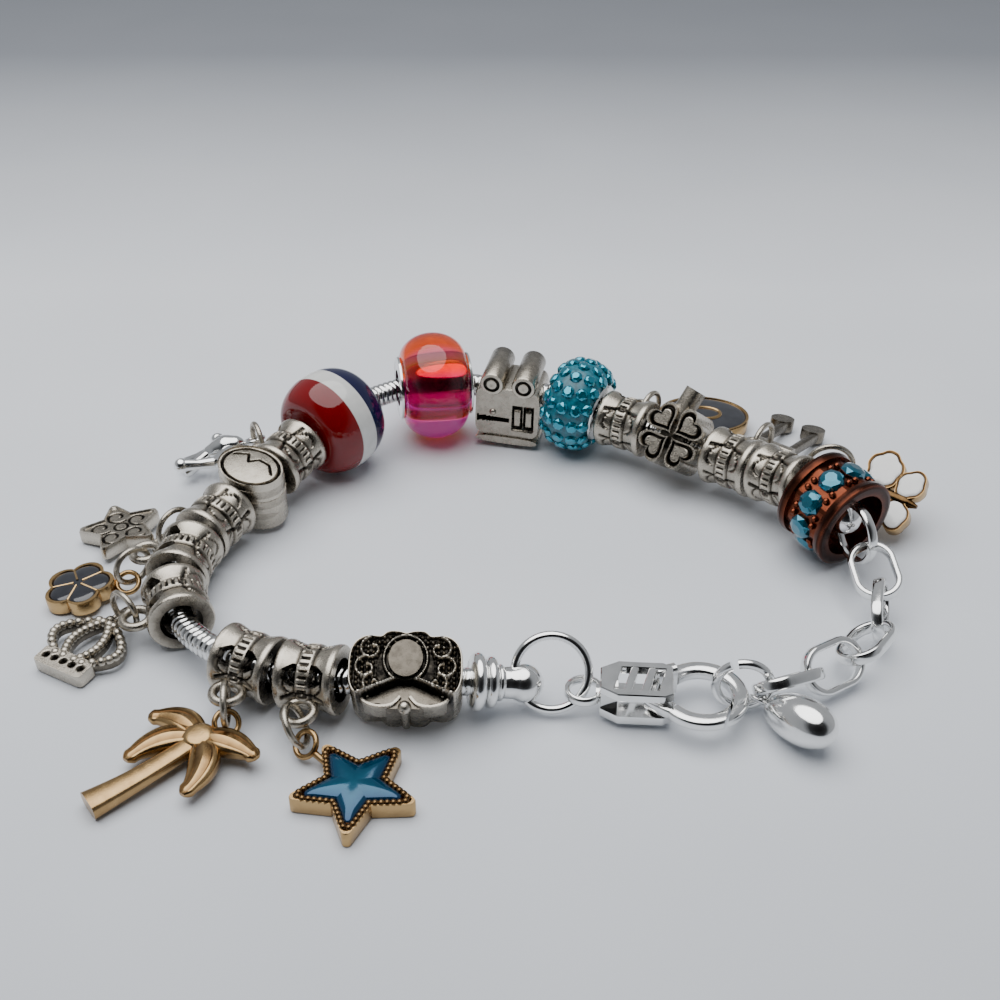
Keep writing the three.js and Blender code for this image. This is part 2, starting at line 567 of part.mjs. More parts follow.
// Bail bead: flared sleeve, raised band, two pairs of pierced windows and the loop on its foot
function bailSolid(loopWay) {
  const [half, bore] = [BAIL_LENGTH / 2, BORE_DIAMETER / 2];
  const [rim, waist, band] = [BAIL_RIM_DIAMETER / 2, BAIL_WAIST_DIAMETER / 2, BAIL_BAND_DIAMETER / 2];
  const bandHalf = BAIL_BAND_WIDTH / 2;
  const sleeve = turned([
    [-half, bore], [-half, rim], [-half + BAIL_RIM_WIDTH, rim], [-bandHalf, waist], [-bandHalf, band],
    [bandHalf, band], [bandHalf, waist], [half - BAIL_RIM_WIDTH, rim], [half, rim], [half, bore],
  ], true, BAIL_SIDES);
  const windows = [];
  for (const side of [-1, 1]) {
    for (const turn of [-WINDOW_TURN, WINDOW_TURN]) {
      const near = side * bandHalf;
      const far = side * (bandHalf + WINDOW_REACH);
      const outline = [
        [near, -WINDOW_WIDE / 2], [far, -WINDOW_NARROW / 2], [far, WINDOW_NARROW / 2], [near, WINDOW_WIDE / 2],
      ];
      windows.push(plate(outline, bore * 0.5, rim + 1).rotate([turn, 0, 0]));
    }
  }
  const loopFrame = frameFrom(new THREE.Vector3(0, 0, LOOP_OFFSET), new THREE.Vector3(1, 0, 0), loopWay);
  const inward = frameFrom(new THREE.Vector3(0, 0, LOOP_OFFSET), new THREE.Vector3(0, 0, 1), loopWay);
  const foot = new THREE.Vector3(-(LOOP_DIAMETER - LOOP_WIRE) / 2, 0, 0).applyMatrix4(inward);
  const loop = placed(ring(LOOP_DIAMETER, LOOP_WIRE), loopFrame);
  const post = rod(new THREE.Vector3(0, 0, (bore + waist) / 2), foot, LOOP_WIRE * 1.1, 6);
  return windows.reduce((sum, window) => sum.subtract(window), sleeve).add(loop).add(post);
}

// Pendants. Each is drawn from its eye at the origin, its body towards +X, its face up
function eyeRing(eye, way) {
  const along = new THREE.Vector3(1, 0, 0);
  return placed(ring(eye.diameter, eye.wire, 10), frameFrom(new THREE.Vector3(), along, way));
}

function starOutline(cx, outer, inner, points, turn) {
  return Array.from({ length: points * 2 }, (_, i) => {
    const r = i % 2 ? inner : outer;
    const a = rad(180 + turn + (i * 180) / points);
    return [cx + r * Math.cos(a), r * Math.sin(a)];
  });
}

const STARFISH = {
  radius: 7.2, waist: 3.3, thickness: 2.4, eyeRise: 0.5, turn: 11, eye: { diameter: 3.2, wire: 0.6 },
};
function starfishSolid(eyeWay) {
  const centre = STARFISH.eye.diameter / 2 + STARFISH.radius * Math.cos(rad(STARFISH.turn)) - 1.05;
  const low = -STARFISH.thickness / 2 - STARFISH.eyeRise;
  const outline = starOutline(centre, STARFISH.radius, STARFISH.waist, 5, -STARFISH.turn);
  const inner = starOutline(centre, STARFISH.radius * 0.72, STARFISH.waist * 0.72, 5, -STARFISH.turn);
  const { diameter, wire } = STARFISH.eye;
  const neckStart = new THREE.Vector3((diameter - wire) / 2, 0, -wire / 2);
  const neckEnd = new THREE.Vector3(centre - STARFISH.radius * 0.6, 0, -wire / 2);
  return union([
    plate(outline, low, low + STARFISH.thickness * 0.8),
    plate(inner, low, low + STARFISH.thickness),
    rod(neckStart, neckEnd, wire * 1.2, 5),
    eyeRing(STARFISH.eye, eyeWay),
  ]);
}

const PALM = {
  trunk: 12.4, trunkWidth: 2.6, frond: 7.2, crownAt: 1.6, heart: 3.4, thickness: 2.0, eye: { diameter: 3.1, wire: 0.6 },
};
const FRONDS = [
  { turn: 136, bend: -20, reach: 0.95 },
  { turn: 88, bend: -40, reach: 1.02 },
  { turn: -55, bend: 37, reach: 1.02 },
  { turn: -106, bend: 38, reach: 0.9 },
];
function palmSolid(eyeWay) {
  const low = -PALM.thickness / 2;
  const hub = PALM.eye.diameter / 2 + PALM.crownAt;
  const half = PALM.trunkWidth / 2;
  const foot = hub + PALM.trunk;
  const middle = hub + PALM.trunk / 2;
  const trunk = plate([
    [hub, -half * 0.6], [middle, -half * 0.2], [foot, -half * 0.6],
    [foot, half * 1.6], [middle, half * 1.3], [hub, half * 0.7],
  ], low, -low * 0.7);
  const fronds = FRONDS.map(({ turn, bend, reach }) => {
    const length = PALM.frond * reach;
    const at = (share, angle) => [hub + length * share * Math.cos(rad(angle)), length * share * Math.sin(rad(angle))];
    const [bx, by] = at(0.5, turn + bend / 2);
    const [tx, ty] = at(1, turn + bend);
    const wide = half;
    const [ax, ay] = [-Math.sin(rad(turn + bend / 2)) * wide, Math.cos(rad(turn + bend / 2)) * wide];
    return plate([
      [hub - ax * 0.5, -ay * 0.5], [bx - ax, by - ay], [tx - ax * 0.3, ty - ay * 0.3],
      [tx + ax * 0.3, ty + ay * 0.3], [bx + ax, by + ay], [hub + ax * 0.5, ay * 0.5],
    ], low, -low);
  });
  return union([trunk, disc(hub, 0, PALM.heart, low, -low), ...fronds, eyeRing(PALM.eye, eyeWay)]);
}

const CROWN = {
  height: 6.6, base: 6.6, baseDepth: 2.1, span: 8.8, thickness: 1.6, wire: 1.0, hole: 0.6,
  eye: { diameter: 3.1, wire: 0.6 },
};
function crownSolid(eyeWay) {
  const low = -CROWN.thickness / 2;
  const top = CROWN.eye.diameter / 2 - 0.2;
  const foot = top + CROWN.height;
  const middle = foot + CROWN.baseDepth / 2;
  const bar = box(foot - CROWN.wire / 2, foot + CROWN.baseDepth, -CROWN.base / 2, CROWN.base / 2, low, -low);
  const holes = [-2, -1, 0, 1, 2].map((i) => (
    disc(middle, (i * CROWN.base) / 5.6, CROWN.hole, low * 2, -low * 2, 8)
  ));
  const arches = [0.5, -0.5, 0.2, -0.2].map((share) => {
    const along = [0, 0.2, 0.4, 0.6, 0.8, 1];
    const curve = (offset) => along.map((t) => (
      [top + t * CROWN.height, Math.sin(t * Math.PI * 0.86) * CROWN.span * share + offset]
    ));
    return plate([...curve(-CROWN.wire / 2), ...curve(CROWN.wire / 2).reverse()], low, -low);
  });
  return union([bar.subtract(union(holes)), ...arches, eyeRing(CROWN.eye, eyeWay)]);
}

const FLOWER = { petal: 3.2, reach: 2.5, petals: 5, thickness: 1.8, eye: { diameter: 3.1, wire: 0.6 } };
function flowerSolid(eyeWay) {
  const low = -FLOWER.thickness / 2;
  const centre = FLOWER.eye.diameter / 2 + FLOWER.reach + FLOWER.petal / 2 - 0.2;
  const petals = Array.from({ length: FLOWER.petals }, (_, i) => {
    const a = rad(180 + (i * 360) / FLOWER.petals);
    return disc(centre + FLOWER.reach * Math.cos(a), FLOWER.reach * Math.sin(a), FLOWER.petal, low, -low, 12);
  });
  return union([disc(centre, 0, FLOWER.reach * 1.5, low, -low * 1.15, 10), ...petals, eyeRing(FLOWER.eye, eyeWay)]);
}

const STAR = { radius: 5.7, waist: 2.9, thickness: 1.5, eye: { diameter: 3.1, wire: 0.6 } };
function starSolid(eyeWay) {
  const low = -STAR.thickness / 2;
  const centre = STAR.eye.diameter / 2 + STAR.radius - 0.6;
  return plate(starOutline(centre, STAR.radius, STAR.waist, 5, 0), low, -low).add(eyeRing(STAR.eye, eyeWay));
}

const FIGURE = {
  length: 10.2, limb: 1.5, body: 3.4, reach: 4.8, thickness: 4.2, eye: { diameter: 3.1, wire: 0.6 },
};
const LIMBS = [
  { from: [0.28, 0, 0], to: [0.5, 0.95, 0.5], wide: 1 },
  { from: [0.5, 0.88, 0.5], to: [0.86, 1.04, 1.2], wide: 1 },
  { from: [0.55, 0, 0], to: [0.95, 0.33, -0.4], wide: 1.1 },
  { from: [0.55, 0, 0], to: [1, -0.2, -0.5], wide: 1 },
  { from: [0.3, 0, 0], to: [0.5, -0.87, -0.5], wide: 1.2 },
];
function figureSolid(eyeWay) {
  const { length, body, reach, thickness } = FIGURE;
  const trunk = turned([
    [FIGURE.eye.diameter / 2 - 0.3, 0], [length * 0.16, body * 0.3], [length * 0.34, body * 0.5],
    [length * 0.56, body * 0.42], [length * 0.66, 0],
  ], false, 10);
  const joint = ([along, side, up]) => new THREE.Vector3(along * length, side * reach, (up * thickness) / 2);
  const limbs = LIMBS.map(({ from, to, wide }) => rod(joint(from), joint(to), FIGURE.limb * wide, 6));
  return union([trunk, ...limbs, eyeRing(FIGURE.eye, eyeWay)]);
}

const MEDAL = { length: 12.6, width: 9.4, thickness: 2.0, relief: 0.5, eye: { diameter: 3.1, wire: 0.6 } };
function medalSolid(eyeWay) {
  const low = -MEDAL.thickness / 2;
  const centre = MEDAL.eye.diameter / 2 + MEDAL.length / 2 - 0.3;
  const [a, b] = [MEDAL.length / 2, MEDAL.width / 2];
  const raised = arc(centre, 0, a * 0.5, b * 0.42, 0, 330, 11);
  return union([
    plate(arc(centre, 0, a, b, 0, 345, 23), low, -low),
    plate(raised, low, -low + MEDAL.relief),
    eyeRing(MEDAL.eye, eyeWay),
  ]);
}

const NOTE = {
  stem: 7.6, stemWidth: 1.0, spread: 4.6, head: 2.7, bar: 1.5, thickness: 1.6, eye: { diameter: 3.1, wire: 0.5 },
};
function noteSolid(eyeWay) {
  const low = -NOTE.thickness / 2;
  const start = NOTE.eye.diameter / 2 - 0.3;
  const end = start + NOTE.bar + NOTE.stem;
  const half = NOTE.spread / 2;
  const stemHalf = NOTE.stemWidth / 2;
  const sides = [-half, half].flatMap((y) => [
    box(start, end, y - stemHalf, y + stemHalf, low, -low),
    plate(arc(end, y + 0.7, NOTE.head * 0.5, NOTE.head * 0.62, 0, 330, 11), low, -low),
  ]);
  const bar = box(start, start + NOTE.bar, -half - stemHalf, half + stemHalf, low, -low);
  return union([bar, ...sides, eyeRing(NOTE.eye, eyeWay)]);
}

const BUTTERFLY = { wing: 5.5, body: 8.6, thickness: 1.7, eye: { diameter: 3.1, wire: 0.6 } };
function butterflySolid(eyeWay) {
  const low = -BUTTERFLY.thickness / 2;
  const start = BUTTERFLY.eye.diameter / 2 - 0.3;
  const w = BUTTERFLY.wing;
  const wings = [-1, 1].flatMap((side) => [
    plate(arc(start + BUTTERFLY.body * 0.32, side * w * 0.5, w * 0.46, w * 0.5, 0, 330, 11), low, -low),
    plate(arc(start + BUTTERFLY.body * 0.76, side * w * 0.38, w * 0.33, w * 0.4, 0, 330, 11), low, -low),
  ]);
  const trunk = box(start, start + BUTTERFLY.body, -w * 0.11, w * 0.11, low, -low);
  return union([trunk, ...wings, eyeRing(BUTTERFLY.eye, eyeWay)]);
}

// Each hanging: the bail that carries it, the step from its loop to the pendant's eye and its ring
const HANGINGS = [
  { name: 'starfish', bead: 'bail_bead_1', make: starfishSolid, material: ENAMEL_BLUE, sizes: STARFISH,
    step: [0.9, -2.9], eyeHeight: null, way: -46, ring: 5.0, side: [-0.5, 0, 1], face: [0, 0, 1] },
  { name: 'palm_tree', bead: 'bail_bead_2', make: palmSolid, material: GOLD, sizes: PALM, far: 15,
    step: [0.2, -2.7], eyeHeight: 1.9, way: -141, ring: 4.9, side: [0, 0.3, 1], face: [0, 0, 1] },
  { name: 'crown', bead: 'bail_bead_3', make: crownSolid, material: PEWTER, sizes: CROWN, far: 9.6,
    step: [-2.6, 2.3], eyeHeight: 1.5, way: -119, ring: 4.9, side: [0, 0, 1], face: [0, 0, 1] },
  { name: 'flower', bead: 'bail_bead_4', make: flowerSolid, material: ENAMEL_DARK, sizes: FLOWER, far: 8.5,
    step: [-3.0, -3.0], eyeHeight: 1.7, way: 186, ring: 4.9, side: [0, 0, 1], face: [0, 0, 1] },
  { name: 'star', bead: 'bail_bead_5', make: starSolid, material: PEWTER, sizes: STAR, far: 11.5,
    step: [-2.6, -3.1], eyeHeight: 1.6, way: 150, ring: 5.4, side: [0, 0, 1], face: [0, 0, 1] },
  { name: 'figure', bead: 'bail_bead_6', make: figureSolid, material: SILVER, sizes: FIGURE, far: 10.2,
    step: [-1.6, 3.4], eyeHeight: 4.4, way: 190, ring: 4.9, side: [0, 0, 1], face: [0, 0, 1] },
  { name: 'oval_medal', bead: 'bail_bead_7', make: medalSolid, material: ENAMEL_DARK, sizes: MEDAL, far: 14,
    step: [2.2, 3.0], eyeHeight: 2.4, way: 14, ring: 5.2, side: [0, 0, 1], face: [0, 0, 1] },
  { name: 'music_note', bead: 'bail_bead_8', make: noteSolid, material: PEWTER, sizes: NOTE, far: 11.6,
    step: [2.4, 3.1], eyeHeight: 2.7, way: 52, ring: 5.6, side: [0, 0, 1], face: [0, 0, 1] },
  { name: 'butterfly', bead: 'bail_bead_9', make: butterflySolid, material: GOLD, sizes: BUTTERFLY,
    step: [5.1, -0.2], eyeHeight: 4.4, way: -42, ring: 6.4, side: [0, 0, 1], face: [-0.2, -0.75, 0.9] },
];
const JUMP_WIRE = 0.7;
const RING_SPAN = 1.88;

// The starfish lies flat and is what the bracelet rests on, this much below its neighbours
const SEAT_DEPTH = 0.12;

// Halfway between a hole's plain axis and the way a ring's wire runs through it
function between(axis, way) {
  const toward = axis.dot(way) < 0 ? way.clone().negate() : way.clone();
  return axis.clone().normalize().add(toward).normalize();
}

function hang(item) {
  const beadPlace = beadFrame(item.bead);
  const loop = new THREE.Vector3(0, 0, LOOP_OFFSET).applyMatrix4(beadPlace);
  const deep = item.sizes.thickness / 2;
  const meanRadius = (item.ring - JUMP_WIRE) / 2;
  const sink = (item.eyeHeight ?? deep + item.sizes.eyeRise - SEAT_DEPTH) - loop.z;
  const reach = Math.sqrt((RING_SPAN * meanRadius) ** 2 - sink ** 2);
  const plan = new THREE.Vector3(...item.step, 0).clampLength(0, reach);
  const eye = new THREE.Vector3(loop.x + plan.x, loop.y + plan.y, loop.z + sink);
  const { frame, wayAtP, wayAtQ } = ringThrough(loop, eye, meanRadius, new THREE.Vector3(...item.side));
  add(`ring_${item.name}`, ring(item.ring, JUMP_WIRE), SILVER, frame);
  const plainAxis = new THREE.Vector3(0, 1, 0).transformDirection(beadPlace);
  const loopWay = between(plainAxis, wayAtP).transformDirection(beadPlace.clone().invert());
  add(item.bead, bailSolid(loopWay), PEWTER, beadPlace);
  const far = item.far ?? 0;
  const drop = far ? Math.asin(eye.z / Math.hypot(far, deep)) - Math.atan2(deep, far) : 0;
  const way = new THREE.Vector3(
    Math.cos(rad(item.way)) * Math.cos(drop),
    Math.sin(rad(item.way)) * Math.cos(drop),
    -Math.sin(drop),
  );
  const pendant = frameFrom(eye, way, new THREE.Vector3(...item.face));
  const face = new THREE.Vector3(0, 0, 1).transformDirection(pendant);
  const eyeWay = between(face, wayAtQ).add(wayAtQ.clone().multiplyScalar(Math.sign(face.dot(wayAtQ))))
    .transformDirection(pendant.clone().invert());
  add(item.name, item.make(eyeWay), item.material, pendant);
}
HANGINGS.forEach(hang);

// Scroll bead: a winged outline extruded towards its face, with a bow below the wings
function scrollBead() {
  const [half, wide] = [SCROLL_BEAD.length / 2, SCROLL_BEAD.width / 2];
  const shares = [
    [0.55, -1], [0.8, -0.82], [0.88, -0.5], [1, -0.2], [1, 0.2], [0.86, 0.42], [0.74, 0.6],
    [0.74, 0.86], [0.55, 1], [0.15, 0.9],
  ];
  const right = shares.map(([x, y]) => [x * half, y * wide]);
  const left = shares.map(([x, y]) => [-x * half, y * wide]).reverse();
  const body = plate([...right, ...left], -SCROLL_BEAD.back, SCROLL_BEAD.face);
  const boss = plate(arc(0, -wide * 0.35, half * 0.3, wide * 0.52, 0, 330, 11), 0, SCROLL_BEAD.face + 0.25);
  return drilled(body.add(boss), BORE_DIAMETER, SCROLL_BEAD.length);
}

// Bore along local X
function drilled(body, bore, length) {
  return body.subtract(rod(new THREE.Vector3(-length, 0, 0), new THREE.Vector3(length, 0, 0), bore, ROUND_SIDES));
}

// Leaf bead: a rounded block with a stepped, leaf-shaped face
function leafBead() {
  const [half, wide] = [LEAF_BEAD.length / 2, LEAF_BEAD.width / 2];
  const body = plate(arc(0, 0, half, wide, 0, 337.5, 15), -LEAF_BEAD.back, LEAF_BEAD.face - 0.9);
  const face = plate(arc(0, 0, half * 0.84, wide * 0.86, 0, 337.5, 15), 0, LEAF_BEAD.face);
  return drilled(body.add(face), BORE_DIAMETER, LEAF_BEAD.length);
}

// Round bead: an arched outer profile and a plain bore
function roundBead({ length, diameter, bore }, shoulder, steps = 7) {
  const half = length / 2;
  const outer = arc(0, 0, half, diameter / 2 - shoulder, 180, 0, steps)
    .map(([along, radius]) => [along, shoulder + radius]);
  return turned([...outer, [half, bore / 2], [-half, bore / 2]], true);
}

function glassCore() {
  const { length, flange, sleeve, bore, lip } = GLASS_CORE;
  const half = length / 2;
  return turned([
    [-half, bore / 2], [-half, flange / 2 - 0.3], [-half + lip, flange / 2], [-half + lip, sleeve / 2],
    [half - lip, sleeve / 2], [half - lip, flange / 2], [half, flange / 2 - 0.3], [half, bore / 2],
  ], true);
}

// Pave bead: clay over a rimmed sleeve, with rows of cut crystals
function paveBead() {
  const { length, diameter, rim, bore } = PAVE_BEAD;
  const half = length / 2;
  const rise = (diameter - rim) / 2;
  const outer = arc(0, 0, half - 0.4, rise, 180, 0, 8).map(([along, radius]) => [along, rim / 2 + radius]);
  const body = turned([
    [-half, bore / 2], [-half, rim / 2], ...outer, [half, rim / 2], [half, bore / 2],
  ], true);
  const stone = cutStone(CRYSTAL.diameter, CRYSTAL.table, CRYSTAL.proud, CRYSTAL.sunk);
  const stones = [];
  for (let row = 0; row < CRYSTAL.rows; row += 1) {
    const lean180 = 42 + (96 * row) / (CRYSTAL.rows - 1);
    const along = (half - 0.4) * Math.cos(rad(lean180));
    const radius = rim / 2 + rise * Math.sin(rad(lean180));
    const tilt = Math.atan2(Math.cos(rad(lean180)) * rise, Math.sin(rad(lean180)) * (half - 0.4));
    for (let i = 0; i < CRYSTAL.perRow; i += 1) {
      const turn = ((i + (row % 2) / 2) * 360) / CRYSTAL.perRow;
      stones.push(stone.rotate([0, THREE.MathUtils.radToDeg(tilt), 0])
        .translate([along, 0, radius - 0.08]).rotate([turn, 0, 0]));
    }
  }
  return union([body, ...stones]);
}

// Channel bead: two rims with a row of set stones between them, on a wide bore
function channelBead() {
  const { length, diameter, channel, rimWidth, bore } = CHANNEL_BEAD;
  const half = length / 2;
  const body = turned([
    [-half, bore / 2], [-half, diameter / 2 - 0.4], [-half + 0.3, diameter / 2], [-half + rimWidth, diameter / 2],
    [-half + rimWidth, channel / 2], [half - rimWidth, channel / 2], [half - rimWidth, diameter / 2],
    [half - 0.3, diameter / 2], [half, diameter / 2 - 0.4], [half, bore / 2],
  ], true);
  const stone = cutStone(CHANNEL_STONE.diameter, CHANNEL_STONE.table, CHANNEL_STONE.proud, CHANNEL_STONE.sunk);
  const stones = Array.from({ length: CHANNEL_STONE.count }, (_, i) => (
    stone.translate([0, 0, channel / 2 + 0.1]).rotate([(i * 360) / CHANNEL_STONE.count, 0, 0])
  ));
  return union([body, ...stones]);
}

// Clover bead: four heart leaves through the whole bead and a stem
function cloverBead() {
  const { leaf, leafWidth, face, back, stem, stemWidth } = CLOVER_BEAD;
  const half = leafWidth / 2;
  const sideShares = [[0.4, 0.7], [0.66, 1], [0.88, 0.9], [0.98, 0.5]];
  const upper = sideShares.map(([along, out]) => [along * leaf, out * half]);
  const lower = sideShares.map(([along, out]) => [along * leaf, -out * half]).reverse();
  const outline = [[0.06 * leaf, 0], ...lower.slice().reverse(), [0.88 * leaf, 0], ...upper.slice().reverse()];
  const leaves = [45, 135, 225, 315].map((turn) => (
    plate(outline, -back, face).rotate([0, 0, turn]).scale([0.94, 1, 1])
  ));
  const hub = disc(0, 0, leaf * 0.8, -back, face - 0.4, 8);
  const stalk = box(-stemWidth * 0.5, stemWidth * 0.5, 1.2, stem, -0.2, face - 0.5).rotate([0, 0, 8]);
  return drilled(union([hub, stalk, ...leaves]), BORE_DIAMETER, leaf * 3);
}

// Reel bead: a block on a foot plate with two tubes across its top
function reelBead() {
  const { length, depth, foot, tube, tubeRise, tubeApart } = REEL_BEAD;
  const [half, deep] = [length / 2, depth / 2];
  const tubes = [-1, 1].map((side) => rod(
    new THREE.Vector3((side * tubeApart) / 2, tubeRise, -deep),
    new THREE.Vector3((side * tubeApart) / 2, tubeRise, deep + 0.3),
    tube,
    14,
  ));
  const mouth = box(-half - 0.1, -half * 0.1, -foot * 0.42, -foot * 0.34, deep - 1.2, deep + 1);
  return drilled(union([
    box(-half, half * 0.98, -foot + 0.9, tubeRise * 0.75, -deep * 0.92, deep * 0.92).subtract(mouth),
    box(-half * 0.9, half, -foot, -foot + 1.0, -deep, deep),
    ...tubes,
  ]), BORE_DIAMETER, length);
}

add('scroll_bead', scrollBead(), PEWTER, beadFrame('scroll_bead'));
add('leaf_bead', leafBead(), PEWTER, beadFrame('leaf_bead'));
add('striped_bead', roundBead(STRIPED_BEAD, STRIPED_BEAD.diameter * 0.29), RESIN_RED, beadFrame('striped_bead'));
const glassPlace = beadFrame('glass_bead');
add('glass_bead', roundBead(GLASS_BEAD, GLASS_BEAD.diameter * 0.26), GLASS_MAGENTA, glassPlace);
add('glass_bead_core', glassCore(), SILVER, glassPlace);
add('reel_bead', reelBead(), PEWTER, beadFrame('reel_bead'));
add('pave_bead', paveBead(), CLAY_TEAL, beadFrame('pave_bead'));
add('clover_bead', cloverBead(), PEWTER, beadFrame('clover_bead'));

// The channel bead sits over the rear cap
add('channel_bead', channelBead(), COPPER, rearAxis.clone().multiply(
  new THREE.Matrix4().makeTranslation(CHANNEL_BEAD.length / 2 - CAP_LENGTH / 2 + SEAT_GAP / 2, 0, 0),
));

// Stand the whole on z = 0 with the middle of its box over the origin
bracelet.updateMatrixWorld(true);
const extent = new THREE.Box3();
bracelet.children.forEach((mesh) => extent.union(new THREE.Box3().setFromObject(mesh, true)));
bracelet.position.set(-(extent.min.x + extent.max.x) / 2, -(extent.min.y + extent.max.y) / 2, -extent.min.z);

export default bracelet;
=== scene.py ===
"""Looks of the charm bracelet: cast, pierced and enamelled beads on a ribbed snake chain.

Lengths are in millimetres in the layout the strand is drawn in. place() turns them into the
frame's metres. Every surface is a numpy grid; each function's docstring says its formula.
"""
import math

import bpy
import numpy as np
from mathutils import Matrix


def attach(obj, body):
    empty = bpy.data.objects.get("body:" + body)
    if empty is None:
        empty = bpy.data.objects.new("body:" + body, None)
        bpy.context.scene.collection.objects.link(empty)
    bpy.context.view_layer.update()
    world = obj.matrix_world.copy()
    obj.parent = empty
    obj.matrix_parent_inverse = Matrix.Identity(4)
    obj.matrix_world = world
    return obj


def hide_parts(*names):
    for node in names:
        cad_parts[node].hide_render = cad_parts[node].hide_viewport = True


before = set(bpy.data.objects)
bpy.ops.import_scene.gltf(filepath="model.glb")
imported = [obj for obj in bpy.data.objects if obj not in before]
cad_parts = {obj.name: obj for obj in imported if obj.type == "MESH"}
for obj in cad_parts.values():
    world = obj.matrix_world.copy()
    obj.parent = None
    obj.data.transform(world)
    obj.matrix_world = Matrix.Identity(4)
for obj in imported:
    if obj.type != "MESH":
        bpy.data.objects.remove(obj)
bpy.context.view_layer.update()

SHIFT = np.array([-0.017, 3.542, 0.120])
MM = 0.001
UP = np.array([0.0, 0.0, 1.0])

CHAIN_DIAMETER = 3.0
SEAT_GAP = 0.3
BAIL_LENGTH = 6.2
BAIL_RIM, BAIL_WAIST, BAIL_BAND, BAIL_BORE = 3.65, 3.2, 3.45, 2.3
BAIL_RIM_WIDTH, BAIL_BAND_WIDTH = 0.6, 1.4
WINDOW_TURN, WINDOW_REACH = 52, 1.55
LOOP_MEAN, LOOP_WIRE, LOOP_OFFSET = 1.5, 0.5, 4.6
CAP_LENGTH, CAP_SETBACK = 5.7, 0.9
RING_SPAN = 1.88

ROUTE = np.array([
    [2.5, -24.0, 3.1], [-9.4, -25.6, 4.8], [-19.3, -23.9, 3.8], [-27.5, -21.0, 3.8],
    [-33.2, -16.2, 3.7], [-35.8, -9.6, 3.7], [-35.6, -3.0, 3.8], [-33.4, 3.0, 4.1],
    [-30.2, 8.4, 4.6], [-26.1, 14.6, 5.7], [-21.6, 21.6, 6.8], [-15.4, 27.4, 7.1], [-8.0, 30.4, 7.3],
    [0.4, 29.6, 6.7], [9.2, 27.2, 6.5], [15.2, 23.2, 5.5], [21.6, 19.4, 5.9],
    [27.6, 15.2, 5.2], [32.6, 10.6, 5.8], [37.2, 5.0, 6.8], [40.8, -1.2, 5.6],
    [42.2, -8.0, 3.6], [40.8, -14.6, 2.8], [36.6, -19.9, 2.8], [30.4, -23.4, 3.0],
    [23.0, -25.3, 2.5], [12.0, -25.0, 2.4],
])

# name, length along the strand, roll from outwards to up in degrees, rim radius
STRAND = [
    ("end_cap_front", CAP_LENGTH, 0, 3.05),
    ("scroll_bead", 11.4, 64, 2.6),
    ("bail_bead_1", BAIL_LENGTH, -10, BAIL_RIM),
    ("bail_bead_2", BAIL_LENGTH, -4, BAIL_RIM),
    (None, 7.3, 0, 0),
    ("bail_bead_3", BAIL_LENGTH, -8, BAIL_RIM),
    ("bail_bead_4", BAIL_LENGTH, 8, BAIL_RIM),
    ("bail_bead_5", BAIL_LENGTH, -25, BAIL_RIM),
    ("leaf_bead", 6.6, 96, BAIL_RIM),
    ("bail_bead_6", BAIL_LENGTH, -14, BAIL_RIM),
    ("striped_bead", 9.4, 90, 13.5 * 0.33),
    (None, 5.6, 0, 0),
    ("glass_bead", 9.6, 90, 4.15),
    ("reel_bead", 8.8, 180, 7.6 * 0.4),
    ("pave_bead", 7.0, 90, 3.7),
    ("bail_bead_7", BAIL_LENGTH, 4, BAIL_RIM),
    ("clover_bead", 4.2 * 1.84, 143, 3.9),
    ("bail_bead_8", BAIL_LENGTH, 2, BAIL_RIM),
    ("bail_bead_9", BAIL_LENGTH, -8, BAIL_RIM),
    ("end_cap_rear", CAP_LENGTH, 0, 5.6),
]

FLAT_MEAN, OPEN_MEAN, CLAW_MEAN, BIG_MEAN = 3.4, 2.8, 3.9, 3.825
LINK_INNER, LINK_SLACK, OPEN_WIRE, CLAW_BEYOND, EYE_OFFSET = 3.25, 0.58, 1.0, 0.3, 12.0
CLASP_HEIGHT = 2.6
FASTENING = [
    ("flat_ring", FLAT_MEAN - CAP_SETBACK),
    ("link_2", FLAT_MEAN - 0.35 + LINK_INNER - LINK_SLACK),
    ("link_3", 2 * LINK_INNER - LINK_SLACK),
    ("link_4", 2 * LINK_INNER - LINK_SLACK),
    ("link_5", 2 * LINK_INNER - LINK_SLACK),
    ("link_6", 2 * LINK_INNER - LINK_SLACK),
    ("open_ring", OPEN_MEAN + LINK_INNER - OPEN_WIRE / 2 - LINK_SLACK),
    ("claw", CLAW_MEAN + CLAW_BEYOND),
    ("clasp_eye", EYE_OFFSET),
    ("front_ball", BIG_MEAN * 1.86 - CAP_SETBACK),
]

TAU = 2 * math.pi
rad = math.radians


def unit(v):
    """A vector, or rows of vectors, divided by its length."""
    v = np.asarray(v, float)
    return v / np.linalg.norm(v, axis=-1, keepdims=True)


